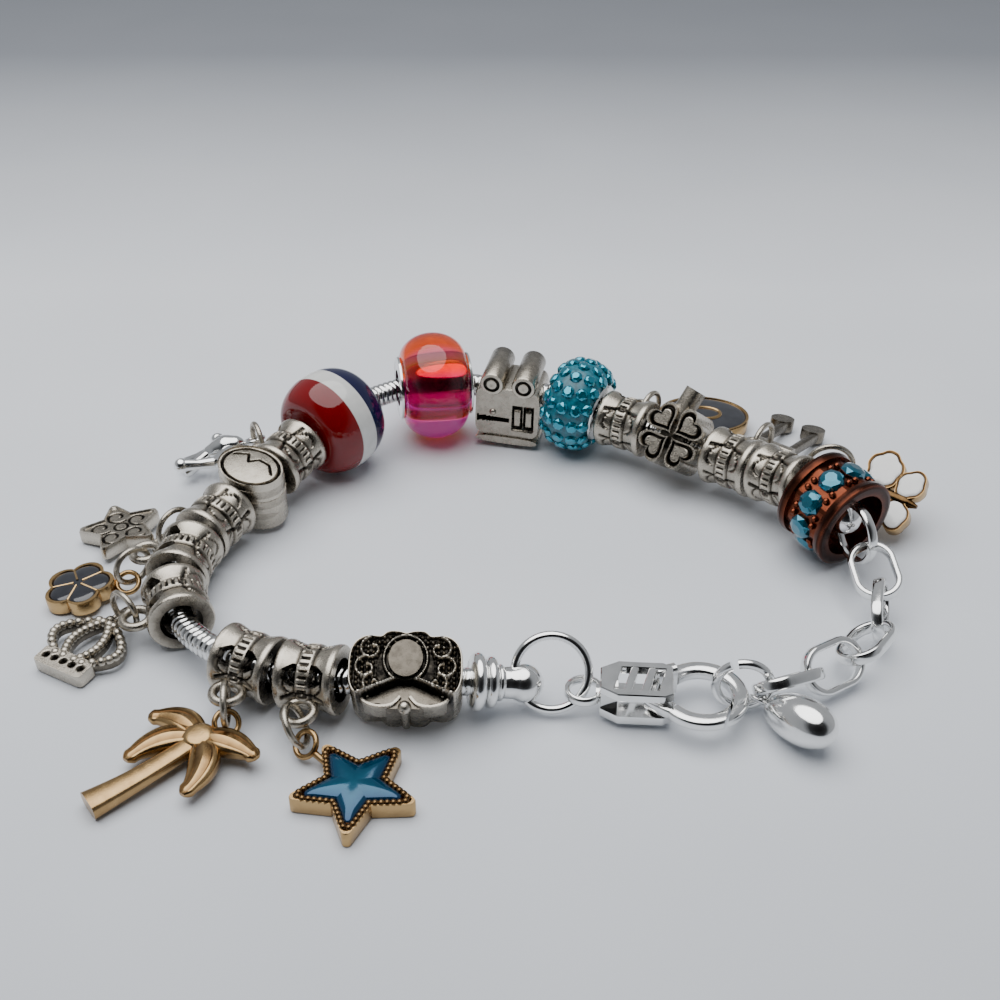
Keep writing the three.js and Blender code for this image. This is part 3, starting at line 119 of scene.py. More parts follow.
class Route:
    """Closed Catmull-Rom curve through ROUTE, its plan scaled about its centre to a wanted length."""

    def __init__(self, wanted):
        """Six rounds of scaling the plan by wanted length over measured length."""
        centre = ROUTE.mean(axis=0) * [1, 1, 0]
        scale = 1.0
        for _ in range(6):
            self.points = (ROUTE - centre) * [scale, scale, 1] + centre
            self.steps = np.linspace(0, 1, 2001)
            path = self.at_share(self.steps)
            self.run = np.concatenate([[0], np.cumsum(np.linalg.norm(np.diff(path, axis=0), axis=1))])
            self.length = wanted
            scale *= wanted / self.run[-1]

    def at_share(self, t):
        """Cubic blend of four neighbouring points, with half the chord between neighbours as slope."""
        count = len(self.points)
        place = np.asarray(t, float) * count
        first = np.floor(place).astype(int)
        w = (place - first)[..., None]
        a, b, c, d = (self.points[(first + k) % count] for k in (-1, 0, 1, 2))
        m, n = (c - a) / 2, (d - b) / 2
        return b + w * m + w ** 2 * (3 * (c - b) - 2 * m - n) + w ** 3 * (2 * (b - c) + m + n)

    def share(self, s):
        """Share of the loop at the length s, read from the summed chords."""
        return np.interp(np.mod(s / self.length, 1.0) * self.run[-1], self.run, self.steps)

    def at(self, s):
        """Point of the route at the length s."""
        return self.at_share(self.share(s))

    def along(self, s):
        """Unit chord over a short step about the length s."""
        t = self.share(s)
        return unit(self.at_share(t + 1e-4) - self.at_share(t - 1e-4))


def lay_out():
    """Gap between neighbours = seat + tan(half the bend) times twice the smaller rim, four passes."""
    gaps = np.full(len(STRAND), SEAT_GAP)
    closing = sum(step for _, step in FASTENING)
    for _ in range(4):
        path = Route(sum(item[1] for item in STRAND) + gaps.sum() + closing)
        start = np.concatenate([[0], np.cumsum([item[1] for item in STRAND] + gaps)[:-1]])
        ends = start + [item[1] for item in STRAND]
        chords = unit(path.at(ends) - path.at(start))
        gaps = gaps.copy()
        gaps[-1] = 0
        for i in range(len(STRAND) - 1):
            here, there = STRAND[i], STRAND[i + 1]
            gaps[i] = SEAT_GAP
            if here[0] and there[0]:
                bend = math.acos(min(1.0, float(chords[i] @ chords[i + 1])))
                gaps[i] += math.tan(bend / 2) * 2 * min(here[3], there[3])
    return path, gaps


route, strand_gaps = lay_out()
STATIONS = {}
travelled = 0.0
for (item_name, item_length, item_roll, _), item_gap in zip(STRAND, strand_gaps):
    STATIONS[item_name] = (travelled + item_length / 2, item_roll, item_length)
    travelled += item_length + item_gap
REAR_BALL = travelled
KNOTS = {}
for knot_name, knot_step in FASTENING:
    travelled += knot_step
    KNOTS[knot_name] = travelled


def basis(x, y, z, origin):
    """Local frame as a 4 x 4 matrix whose columns are three unit axes and the origin."""
    m = np.eye(4)
    m[:3, 0], m[:3, 1], m[:3, 2], m[:3, 3] = x, y, z, origin
    return m


def frame_at(s, roll, reach=0.0):
    """X along the route (or its chord over +-reach), Z turned by roll from outwards to up."""
    x = unit(route.at(s + reach) - route.at(s - reach)) if reach else route.along(s)
    outward = unit(np.cross(UP, x))
    top = unit(np.cross(x, outward))
    z = outward * math.cos(rad(roll)) + top * math.sin(rad(roll))
    origin = (route.at(s + reach) + route.at(s - reach) + route.at(s)) / 3
    return basis(x, np.cross(z, x), z, origin)


def frame_from(origin, x, z):
    """X along x, Z as near to z as that leaves."""
    ex = unit(x)
    z = np.asarray(z, float)
    ez = unit(z - ex * (z @ ex))
    return basis(ex, np.cross(ez, ex), ez, origin)


def bead_frame(name):
    """Frame at a bead's middle, X along the chord between the bead's ends."""
    middle, roll, length = STATIONS[name]
    return frame_at(middle, roll, length / 2)


def move(m, points):
    """Rows of points carried from the local frame m to the layout."""
    return np.asarray(points, float) @ m[:3, :3].T + m[:3, 3]


def offset(m, x=0.0, y=0.0, z=0.0):
    """The frame m moved by x, y and z along its own axes."""
    out = m.copy()
    out[:3, 3] = move(m, [x, y, z])
    return out


def turned(m, axis, degrees):
    """Frame m turned about its own axis 0, 1 or 2."""
    c, s = math.cos(rad(degrees)), math.sin(rad(degrees))
    a, b = [(1, 2), (2, 0), (0, 1)][axis]
    out = m.copy()
    out[:3, a] = m[:3, a] * c + m[:3, b] * s
    out[:3, b] = -m[:3, a] * s + m[:3, b] * c
    return out


def ring_through(p, q, radius, side):
    """Circle of the given radius through p and q with its centre on the side asked for.

    Returns its frame and the way that its wire runs at p and at q.
    """
    chord = q - p
    e1 = unit(chord)
    e2 = unit(np.asarray(side, float) - e1 * (np.asarray(side, float) @ e1))
    centre = (p + q) / 2 + e2 * math.sqrt(radius ** 2 - chord @ chord / 4)
    normal = np.cross(e1, e2)
    ways = [unit(np.cross(end - centre, normal)) for end in (p, q)]
    return frame_from(centre, e1, normal), *ways


def between(axis, way):
    """Direction halfway between an axis and the nearer end of another."""
    return unit(unit(axis) + way * (1 if axis @ way >= 0 else -1))


class Piece:
    """Collects grids of points into one mesh with material slots, and per point a tint and a value of
    rubbing and painted shade.
    """

    def __init__(self, name):
        self.name = name
        self.points, self.quads, self.tris, self.slots = [], [], [], []
        self.wear, self.tint, self.mats = [], [], []
        self.count = 0

    def grid(self, P, mat, wear=1.0, tint=(1, 1, 1), close_u=False, close_v=True, caps=True, keep=None):
        """Quads over P[u, v]. Open u ends are closed by fans to their mean, so the shell is watertight.

        keep is a mask of cells to leave out when False. The shell is turned so its volume is positive.
        """
        P = np.asarray(P, float)
        nu, nv = P.shape[:2]
        index = np.arange(nu * nv).reshape(nu, nv)
        a = index if close_u else index[:-1]
        b = np.roll(index, -1, axis=0) if close_u else index[1:]
        if not close_v:
            c, d, a, b = b[:, 1:], a[:, 1:], a[:, :-1], b[:, :-1]
        else:
            c, d = np.roll(b, -1, axis=1), np.roll(a, -1, axis=1)
        cells = np.stack([a, b, c, d], axis=-1)
        quads = cells[keep] if keep is not None else cells.reshape(-1, 4)
        points = P.reshape(-1, 3)
        tris = np.zeros((0, 3), int)
        wear = np.broadcast_to(wear, (nu, nv)).reshape(-1)
        tint = np.broadcast_to(tint, (nu, nv, 3)).reshape(-1, 3)
        if caps and not close_u:
            hubs = np.array([P[0].mean(axis=0), P[-1].mean(axis=0)])
            low, high = index[0], index[-1]
            n = len(points)
            tris = np.concatenate([
                np.stack([np.full(nv, n), low, np.roll(low, -1)], axis=-1),
                np.stack([np.full(nv, n + 1), np.roll(high, -1), high], axis=-1),
            ])
            points = np.concatenate([points, hubs])
            wear = np.concatenate([wear, [wear[low].mean(), wear[high].mean()]])
            tint = np.concatenate([tint, tint[low].mean(axis=0)[None], tint[high].mean(axis=0)[None]])
        self.add(points, quads, tris, mat, wear, tint)

    def add(self, points, quads, tris, mat, wear, tint, turn=True):
        """Signed volume of the shell; when it is negative every face is reversed."""
        centre = points.mean(axis=0)
        three = np.concatenate([quads[:, [0, 1, 2]], quads[:, [0, 2, 3]], tris]) if len(quads) else tris
        corner = points[three] - centre
        volume = np.einsum("ij,ij->i", corner[:, 0], np.cross(corner[:, 1], corner[:, 2])).sum()
        if turn and volume < 0:
            quads, tris = quads[:, ::-1], tris[:, ::-1]
        if mat not in self.mats:
            self.mats.append(mat)
        self.slots.append((len(quads), len(tris), self.mats.index(mat)))
        self.points.append(points)
        self.quads.append(quads + self.count)
        self.tris.append(tris + self.count)
        self.wear.append(np.broadcast_to(wear, len(points)))
        self.tint.append(np.broadcast_to(tint, (len(points), 3)))
        self.count += len(points)

    def place(self, body="bracelet", node=None, smooth=38):
        """Makes the object in metres, shifted to the frame, parents it to its body and hides the imported
        part named by node.
        """
        points = (np.concatenate(self.points) + SHIFT) * MM
        faces = [f for pair in zip(self.quads, self.tris) for f in pair]
        sides = np.concatenate([np.full(len(f), f.shape[1]) for f in faces])
        corners = np.concatenate([f.reshape(-1) for f in faces])
        slot = np.concatenate([np.full(q + t, m) for q, t, m in self.slots])
        mesh = bpy.data.meshes.new(self.name)
        mesh.vertices.add(len(points))
        mesh.vertices.foreach_set("co", points.reshape(-1))
        mesh.loops.add(len(corners))
        mesh.loops.foreach_set("vertex_index", corners)
        mesh.polygons.add(len(sides))
        mesh.polygons.foreach_set("loop_start", np.concatenate([[0], np.cumsum(sides)[:-1]]))
        mesh.polygons.foreach_set("material_index", slot)
        mesh.update(calc_edges=True)
        mesh.validate()
        mesh.shade_smooth()
        mesh.set_sharp_from_angle(angle=rad(smooth))
        worn = mesh.attributes.new("wear", "FLOAT", "POINT")
        worn.data.foreach_set("value", np.concatenate(self.wear))
        tint = mesh.attributes.new("tint", "FLOAT_COLOR", "POINT")
        rgba = np.concatenate([np.concatenate(self.tint), np.ones((self.count, 1))], axis=1)
        tint.data.foreach_set("color", rgba.reshape(-1))
        for mat in self.mats:
            mesh.materials.append(material(mat))
        obj = bpy.data.objects.new(self.name, mesh)
        bpy.context.collection.objects.link(obj)
        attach(obj, body)
        for name in [node] if isinstance(node, str) else (node or []):
            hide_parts(name)
        return obj


def angles(n):
    """n equal steps of a whole turn, the last one short of it."""
    return np.arange(n) * TAU / n


def straight(start, end, n):
    """n points in a straight line."""
    return np.linspace(start, end, n, dtype=float)


def along_corners(corners, at):
    """Points on the broken line through corners, where whole numbers of at are the corners."""
    corners = np.asarray(corners, float)
    count = np.arange(len(corners))
    return np.stack([np.interp(at, count, corners[:, k]) for k in range(corners.shape[1])], -1)


def ring(piece, m, mean, wire, mat, steps=48, sides=12, flat=1.0, **look):
    """Torus: the centre circle plus a wire circle, its height scaled by flat."""
    u, v = angles(steps)[:, None], angles(sides)[None]
    r = mean + wire * np.cos(v)
    P = np.stack([r * np.cos(u), r * np.sin(u), wire * flat * np.sin(v) + 0 * u], -1)
    piece.grid(move(m, P), mat, close_u=True, **look)


def revolve(piece, m, profile, mat, steps=48, closed=False, swell=None, **look):
    """Each [along, radius] pair turned about local X; swell(along, angle) is added to the radius."""
    profile = np.asarray(profile, float)
    v = angles(steps)[None]
    along, radius = profile[:, :1] + 0 * v, profile[:, 1:] + 0 * v
    if swell is not None:
        radius = radius + swell(along, v + 0 * along)
    P = np.stack([along, radius * np.cos(v), radius * np.sin(v)], -1)
    piece.grid(move(m, P), mat, close_u=closed, **look)


def sweep(piece, path, section, mat, closed=False, scale=None, hint=UP, **look):
    """Section [across, up] carried along a path; across is the tangent crossed with the hint."""
    path = np.asarray(path, float)
    section = np.asarray(section, float)
    ahead = np.roll(path, -1, axis=0) - np.roll(path, 1, axis=0) if closed else np.gradient(path, axis=0)
    t = unit(ahead)
    across = unit(np.cross(np.broadcast_to(hint, t.shape), t))
    top = np.cross(t, across)
    scale = np.ones(len(path)) if scale is None else np.asarray(scale, float)
    k = scale[:, None, None]
    P = path[:, None] + k * (across[:, None] * section[None, :, :1] + top[:, None] * section[None, :, 1:])
    piece.grid(P, mat, close_u=closed, **look)


def circle(radius, n=12):
    """Radius times cosine and sine at n equal steps of a full turn."""
    a = angles(n)
    return np.stack([radius * np.cos(a), radius * np.sin(a)], -1)


def band(width, height, n=20, power=4.0):
    """Superellipse section: a flat band with rounded edges."""
    a = angles(n)
    c, s = np.cos(a), np.sin(a)
    return np.stack([
        width / 2 * np.sign(c) * np.abs(c) ** (2 / power),
        height / 2 * np.sign(s) * np.abs(s) ** (2 / power),
    ], -1)


def stack(piece, m, outline, levels, mat, relief=None, wear=None, **look):
    """Outline scaled and lifted level by level: P = (outline * scale, height + relief(x, y, scale)).

    levels holds [scale, height, face share]; the face share says how much relief a level takes.
    """
    outline = np.asarray(outline, float)
    levels = np.asarray(levels, float)
    scale, height, share = (levels[:, k, None] for k in range(3))
    x, y = outline[None, :, 0] * scale, outline[None, :, 1] * scale
    z = height + 0 * x
    worn = np.ones_like(x) if wear is None else np.full_like(x, wear)
    if relief is not None:
        lift, shade = relief(x, y, scale + 0 * x)
        z = z + share * lift
        worn = worn * (1 - share) + share * shade
    piece.grid(move(m, np.stack([x, y, z], -1)), mat, wear=worn, **look)


def slab_levels(low, high, bevel=0.12, rings=24, inner=0.02):
    """Bottom, wall, bevel and face levels of a cast plate between two heights."""
    face = np.linspace(0.985, inner, rings)
    return [
        [inner, low, 0], [0.97, low, 0], [1, low + bevel, 0], [1, high - bevel, 0], [0.985, high, 0],
    ] + [[s, high, 1] for s in face[1:]]


def dome(levels_from, levels_to, low, high, rings=10):
    """Lens: a flat bottom and a top that rises as the root of one minus the scale to the fourth."""
    s = levels_to + (levels_from - levels_to) * np.cos(np.linspace(0, math.pi / 2, rings)) ** 0.7
    rise = np.sqrt(np.clip(1 - (s / levels_from) ** 4, 0, 1))
    return [[levels_to, low - 0.2, 0], [levels_from, low - 0.2, 0]] + [
        [a, low + (high - low) * b, 1] for a, b in zip(s, rise)]


def ellipse(a, b, n=96, cx=0.0, cy=0.0):
    """Half axes a and b times cosine and sine, about (cx, cy)."""
    t = angles(n)
    return np.stack([cx + a * np.cos(t), cy + b * np.sin(t)], -1)


def polar(radius):
    """Outline with the given radii at equal steps of a full turn."""
    t = angles(len(radius))
    return np.stack([radius * np.cos(t), radius * np.sin(t)], -1)


def star_outline(outer, waist, points=5, n=240, soft=0.12):
    """Straight edges between tips and waists in polar form, tips rounded by a smooth minimum."""
    t = np.mod(angles(n) + math.pi / points, TAU / points) - math.pi / points
    tip = math.pi / points
    a = math.atan2(waist * math.sin(tip), outer - waist * math.cos(tip))
    off = np.abs(t)
    radius = outer * math.sin(a) / np.sin(a + off)
    cut = outer * (1 - soft)
    return polar(-np.log(np.exp(-radius * 6) + np.exp(-cut * 6)) / 6)


def spun(outline, degrees):
    """An outline turned about its own origin."""
    c, s = math.cos(rad(degrees)), math.sin(rad(degrees))
    return outline @ np.array([[c, s], [-s, c]])


def bump(distance, width):
    """Smooth ridge: one at distance 0, nothing beyond width."""
    return np.clip(1 - (distance / width) ** 2, 0, 1) ** 1.5


def beads(piece, centres, radius, normal, mat, sides=8, rows=4, sink=0.2, **look):
    """Half-round grains: one grid of latitudes and longitudes repeated at every centre."""
    centres = np.asarray(centres, float)
    m = frame_from([0, 0, 0], np.cross(normal, [0.3, 0.7, 0.1]), normal)
    lat = np.linspace(-sink, math.pi / 2 * 0.92, rows)[:, None]
    v = angles(sides)[None]
    P = np.stack([np.cos(lat) * np.cos(v), np.cos(lat) * np.sin(v), np.sin(lat) + 0 * v], -1) * radius
    P = move(m, P).reshape(-1, 3)
    index = np.arange(rows * sides).reshape(rows, sides)
    lower, upper = index[:-1], index[1:]
    quads = np.stack([lower, np.roll(lower, -1, 1), np.roll(upper, -1, 1), upper], -1).reshape(-1, 4)
    n = rows * sides
    tris = np.concatenate([
        np.stack([np.full(sides, n), np.roll(index[0], -1), index[0]], -1),
        np.stack([np.full(sides, n + 1), index[-1], np.roll(index[-1], -1)], -1),
    ])
    hubs = np.array([P[:sides].mean(axis=0), m[:3, 2] * radius])
    many(piece, np.concatenate([P, hubs]), quads, tris, centres, mat, **look)


def many(piece, points, quads, tris, centres, mat, turns=None, **look):
    """The same small shell repeated: its points, turned by each turn, added to each centre."""
    k, n = len(centres), len(points)
    local = np.broadcast_to(points, (k, n, 3)) if turns is None else np.einsum("kij,nj->kni", turns, points)
    all_points = (local + centres[:, None]).reshape(-1, 3)
    step = (np.arange(k) * n)[:, None, None]
    wear = look.get("wear", 1.0)
    tint = look.get("tint", (1, 1, 1))
    if np.ndim(tint) == 2:
        tint = np.repeat(tint, n, axis=0)
    quads, tris = (quads[None] + step).reshape(-1, 4), (tris[None] + step).reshape(-1, 3)
    piece.add(all_points, quads, tris, mat, wear, tint)


def stones(piece, centres, normals, diameter, mat, table=0.52, height=0.36, **look):
    """Brilliant cut: octagonal table, a ring of star points, a girdle and a shallow base."""
    normals = unit(normals)
    side = unit(np.cross(normals, [0.31, 0.52, 0.79]))
    turns = np.stack([side, np.cross(normals, side), normals], -1)
    r = diameter / 2
    v = angles(8)
    half = v + TAU / 16
    levels = [  # radius, height, turns of the eight corners
        (r * 0.55, -r * 0.5, v),
        (r, -r * 0.05, v),
        (r * 0.8, height * r, half),
        (r * table, height * r * 1.5, v),
    ]
    P = np.concatenate([np.stack([a * np.cos(t), a * np.sin(t), z + 0 * t], -1) for a, z, t in levels])
    P = np.concatenate([P, [[0, 0, -r * 0.6], [0, 0, height * r * 1.5]]])
    i = np.arange(8)
    j = (i + 1) % 8
    tris = np.concatenate([
        np.stack([i, j, j + 8], -1), np.stack([i, j + 8, i + 8], -1),
        np.stack([i + 8, j + 8, i + 16], -1), np.stack([i + 16, j + 8, j + 16], -1),
        np.stack([i + 24, i + 16, j + 24], -1), np.stack([i + 16, j + 16, j + 24], -1),
        np.stack([np.full(8, 32), j, i], -1), np.stack([np.full(8, 33), i + 24, j + 24], -1),
    ])
    many(piece, P, np.zeros((0, 4), int), tris, np.asarray(centres, float), mat, turns=turns, **look)


# Materials

MATERIALS = {}


def attribute(tree, name):
    """Node that reads a value stored on the mesh."""
    n = tree.nodes.new("ShaderNodeAttribute")
    n.attribute_name = name
    return n


def calculate(tree, operation, *values):
    """Math over sockets and plain numbers."""
    n = tree.nodes.new("ShaderNodeMath")
    n.operation = operation
    for socket, value in zip(n.inputs, values):
        if isinstance(value, float):
            socket.default_value = value
        else:
            tree.links.new(value, socket)
    return n.outputs[0]


def ramp(tree, value, stops):
    """Colours at places from 0 to 1, read at a value."""
    n = tree.nodes.new("ShaderNodeValToRGB")
    first, last = n.color_ramp.elements
    first.position, first.color = stops[0][0], (*stops[0][1], 1)
    last.position, last.color = stops[-1][0], (*stops[-1][1], 1)
    for place, colour in stops[1:-1]:
        n.color_ramp.elements.new(place).color = (*colour, 1)
    tree.links.new(value, n.inputs["Fac"])
    return n.outputs["Color"]


def noise(tree, scale, detail=3.0, rough=0.55):
    """Noise over object coordinates; scale is in cycles per millimetre."""
    coords = tree.nodes.new("ShaderNodeTexCoord")
    n = tree.nodes.new("ShaderNodeTexNoise")
    n.inputs["Scale"].default_value = scale / MM
    n.inputs["Detail"].default_value = detail
    n.inputs["Roughness"].default_value = rough
    tree.links.new(coords.outputs["Object"], n.inputs["Vector"])
    return n.outputs["Fac"]


def spread(tree, value, low, high, first=0.0, last=1.0):
    """Maps a value from first..last to low..high."""
    n = tree.nodes.new("ShaderNodeMapRange")
    n.inputs["From Min"].default_value = first
    n.inputs["From Max"].default_value = last
    n.inputs["To Min"].default_value = low
    n.inputs["To Max"].default_value = high
    tree.links.new(value, n.inputs["Value"])
    return n.outputs["Result"]


def multiply(tree, a, b):
    """Product of two colours."""
    n = tree.nodes.new("ShaderNodeMix")
    n.data_type = "RGBA"
    n.blend_type = "MULTIPLY"
    factor, first, second = [socket for socket in n.inputs if socket.enabled]
    factor.default_value = 1.0
    tree.links.new(a, first)
    tree.links.new(b, second)
    return next(socket for socket in n.outputs if socket.enabled)


def shader(name):
    """A new material, its node tree and its surface node."""
    mat = bpy.data.materials.new(name)
    mat.use_nodes = True
    tree = mat.node_tree
    return mat, tree, tree.nodes["Principled BSDF"]


def wired_bump(tree, bsdf, height, strength, distance):
    """Height as bump on the surface, its distance in millimetres."""
    b = tree.nodes.new("ShaderNodeBump")
    b.inputs["Strength"].default_value = strength
    b.inputs["Distance"].default_value = distance * MM
    tree.links.new(height, b.inputs["Height"])
    tree.links.new(b.outputs["Normal"], bsdf.inputs["Normal"])


def metal(name, dark, mid, bright, rough_low, rough_high, bumpy, grain):
    """Metal whose colour runs from recess to polished edge by a stored value of rubbing, which in places
    holds painted shade instead, mottled by noise.
    """
    mat, tree, bsdf = shader(name)
    mottle = noise(tree, grain, 5.0)
    shifted = calculate(tree, "SUBTRACT", attribute(tree, "wear").outputs["Fac"], 0.25)
    mixed = calculate(tree, "MULTIPLY_ADD", mottle, 0.5, shifted)
    colour = ramp(tree, mixed, [(0.0, dark), (0.45, mid), (1.0, bright)])
    tree.links.new(colour, bsdf.inputs["Base Color"])
    bsdf.inputs["Metallic"].default_value = 1.0
    tree.links.new(spread(tree, mottle, rough_low, rough_high), bsdf.inputs["Roughness"])
    wired_bump(tree, bsdf, noise(tree, grain * 6, 3.0), bumpy, 0.05)
    return mat


def gloss(name, low, high, roughness, tinted=False, coat=0.6, metallic=0.0, grain=0.7, clear=0.0):
    """Glossy surface under a clear coat: a mottle between two colours, times the tint if tinted."""
    mat, tree, bsdf = shader(name)
    mottle = noise(tree, grain, 4.0)
    colour = ramp(tree, mottle, [(low[0], low[1:]), (high[0], high[1:])])
    if tinted:
        colour = multiply(tree, attribute(tree, "tint").outputs["Color"], colour)
    tree.links.new(colour, bsdf.inputs["Base Color"])
    bsdf.inputs["Metallic"].default_value = metallic
    bsdf.inputs["Coat Weight"].default_value = coat
    bsdf.inputs["Coat Roughness"].default_value = 0.03
    bsdf.inputs["Transmission Weight"].default_value = clear
    bsdf.inputs["IOR"].default_value = 1.5
    tree.links.new(spread(tree, mottle, roughness * 0.8, roughness * 1.3), bsdf.inputs["Roughness"])
    wired_bump(tree, bsdf, noise(tree, grain * 8, 2.0), 0.04, 0.03)
    return mat


# Recess, worn and polished colours, least and most roughness, bump, and mottles per millimetre
METALS = {
    "antique silver": (
        (0.005, 0.0045, 0.004), (0.17, 0.150, 0.122), (0.53, 0.485, 0.41), 0.19, 0.36, 0.5, 1.2),
    "bright silver": (
        (0.12, 0.12, 0.12), (0.62, 0.62, 0.61), (0.86, 0.86, 0.85), 0.07, 0.2, 0.08, 0.8),
    "bronze gold": (
        (0.03, 0.015, 0.006), (0.25, 0.15, 0.065), (0.52, 0.345, 0.16), 0.16, 0.32, 0.15, 1.0),
    "copper": (
        (0.008, 0.004, 0.003), (0.04, 0.015, 0.01), (0.17, 0.045, 0.022), 0.16, 0.34, 0.2, 1.0),
}
# Two mottle levels, each with its colour, and the roughness; then what differs from plain enamel
GLOSSES = {
    "blue enamel": (
        (0.3, 0.7, 0.7, 0.75), (0.7, 1, 1, 1), 0.08, dict(tinted=True, grain=0.3, coat=0.3, metallic=0.5)),
    "white enamel": ((0.3, 0.84, 0.84, 0.82), (0.7, 0.92, 0.92, 0.90), 0.12, {}),
    "black enamel": ((0.3, 0.006, 0.007, 0.012), (0.7, 0.02, 0.022, 0.03), 0.1, {}),
    "resin": ((0.3, 0.88, 0.88, 0.88), (0.7, 1, 1, 1), 0.06, dict(tinted=True, coat=0.0)),
    "teal clay": ((0.35, 0.002, 0.09, 0.13), (0.65, 0.006, 0.19, 0.26), 0.35, dict(grain=2.0, coat=0.2)),
    "coloured glass": (
        (0.3, 0.92, 0.92, 0.92), (0.7, 1, 1, 1), 0.02, dict(tinted=True, clear=1.0, coat=0.0)),
    "magenta foil": (
        (0.3, 0.52, 0.0, 0.26), (0.7, 0.75, 0.005, 0.42), 0.12, dict(grain=0.5, metallic=0.9)),
    "crystal": (
        (0.3, 0.8, 0.8, 0.8), (0.7, 1, 1, 1), 0.04, dict(tinted=True, coat=1.0, metallic=0.75, grain=1.5)),
}


def table_paper_with_painted_falloff(name):
    """Matt pale paper, faintly mottled, with painted shade where the light falls off: a little darker in
    front and much darker at its far edge.
    """
    mat, tree, bsdf = shader(name)
    shade = ramp(tree, noise(tree, 0.02, 2.0), [(0.3, (0.74, 0.765, 0.81)), (0.7, (0.79, 0.815, 0.86))])
    coords = tree.nodes.new("ShaderNodeTexCoord")
    split = tree.nodes.new("ShaderNodeSeparateXYZ")
    tree.links.new(coords.outputs["Object"], split.inputs["Vector"])
    away = spread(tree, split.outputs["Y"], 0.0, 1.0, -0.12, 0.26)
    # painted shade: the colour darkens towards the front and much more towards the far edge, standing in
    # for the fall-off of the light
    painted_falloff = ramp(tree, away, [
        (0.0, (0.62, 0.63, 0.64)), (0.3, (0.96, 0.97, 0.98)), (0.52, (1, 1, 1)),
        (0.85, (0.30, 0.31, 0.33)), (1.0, (0.26, 0.268, 0.285)),
    ])
    tree.links.new(multiply(tree, shade, painted_falloff), bsdf.inputs["Base Color"])
    bsdf.inputs["Roughness"].default_value = 0.55
    wired_bump(tree, bsdf, noise(tree, 2.5, 4.0), 0.12, 0.05)
    return mat


def material(name):
    """The material of that name, made when it is first asked for."""
    if name not in MATERIALS:
        if name in METALS:
            MATERIALS[name] = metal(name, *METALS[name])
        elif name in GLOSSES:
            low, high, roughness, extra = GLOSSES[name]
            MATERIALS[name] = gloss(name, low, high, roughness, **extra)
        else:
            MATERIALS[name] = table_paper_with_painted_falloff(name)
    return MATERIALS[name]


# Strung pieces

def window_half(s):
    """Half angle of the pierced window at distance s past the band: wide, then drawn to a point."""
    share = np.clip(s / WINDOW_REACH, 0, 1)
    return np.radians(21.0) * (1 - 0.62 * np.clip((share - 0.35) / 0.65, 0, 1))


def bail_grid():
    """Lines along a bail bead and angles round it, both gathered at the edges of its windows.

    Each row of angles is a first window, the metal between, the second window and the rest. Returns
    the lines, the angles, and which columns of cells lie in a window.
    """
    half, near = BAIL_LENGTH / 2, BAIL_BAND_WIDTH / 2
    far = near + WINDOW_REACH
    line = np.unique(np.concatenate([
        np.linspace(-half, -far, 8), np.linspace(-far, -near, 9), np.linspace(-near, near, 11),
        np.linspace(near, far, 9), np.linspace(far, half, 8)]).round(6))
    centre = np.radians([90 - WINDOW_TURN, 90 + WINDOW_TURN])
    count, inside, between_windows = 152, 16, 32
    width = window_half(np.clip(np.abs(line) - near, 0, WINDOW_REACH))[:, None]
    across = np.linspace(-1, 1, inside + 1)[None]
    first, second = centre[0] + across * width, centre[1] + across * width

    def fill(start, end, n):
        """n angles at equal steps between two columns, both left out."""
        return start + (end - start) * (np.arange(1, n + 1) / (n + 1))[None]

    middle = fill(first[:, -1:], second[:, :1], between_windows)
    rest = fill(second[:, -1:], first[:, :1] + TAU, count - 2 * (inside + 1) - between_windows)
    columns = np.zeros(count, bool)
    columns[:inside] = True
    columns[inside + 1 + between_windows:2 * inside + 1 + between_windows] = True
    return line, np.concatenate([first, middle, second, rest], axis=1), columns


def bail_surface(along, angle):
    """Radius and wear of the flared sleeve, its ladder band, engraved slots, arcs and worn ends."""
    half, near = BAIL_LENGTH / 2, BAIL_BAND_WIDTH / 2
    away_from_middle = np.abs(along)
    edge = np.clip((away_from_middle - near) / (half - BAIL_RIM_WIDTH - near), 0, 1)
    radius = BAIL_WAIST + (BAIL_RIM - BAIL_WAIST) * edge ** 1.6
    wear = np.full_like(radius, 0.72)
    in_band = away_from_middle < near + 1e-6
    core = away_from_middle < near * 0.62
    block = np.clip((0.5 + 0.5 * np.cos(angle * 30)) * 4 - 0.5, 0, 1)
    radius = np.where(in_band, BAIL_BAND - 0.06, radius)
    radius = np.where(core, BAIL_BAND - 0.2 + 0.18 * block, radius)
    wear = np.where(core, 0.05 + 0.8 * block, wear)
    wear = np.where(in_band & ~core, 0.9, wear)
    turn = np.degrees(angle) - 90
    slot = np.zeros_like(radius)
    for at, tilt in ((20, 5), (112, -6), (200, 6), (292, -5)):
        away = (turn - at + tilt * away_from_middle + 180) % 360 - 180
        slot = np.maximum(slot, bump(away, 4.6) * (away_from_middle < half - 0.75))
        arc = np.abs(away_from_middle - near - 1.35 + 0.0016 * (away - 26) ** 2)
        slot = np.maximum(slot, 0.85 * bump(arc, 0.16) * (away > 4) * (away < 48))
    groove = bump(away_from_middle - near - 0.12, 0.16)
    end = np.clip((away_from_middle - (half - 0.25)) / 0.25, 0, 1)
    radius = radius - 0.26 * slot - 0.1 * groove - 0.14 * end ** 2
    wear = wear * (1 - 0.95 * slot) * (1 - 0.8 * groove) + 0.2 * edge * (1 - slot)
    return radius, np.clip(wear, 0.02, 1)


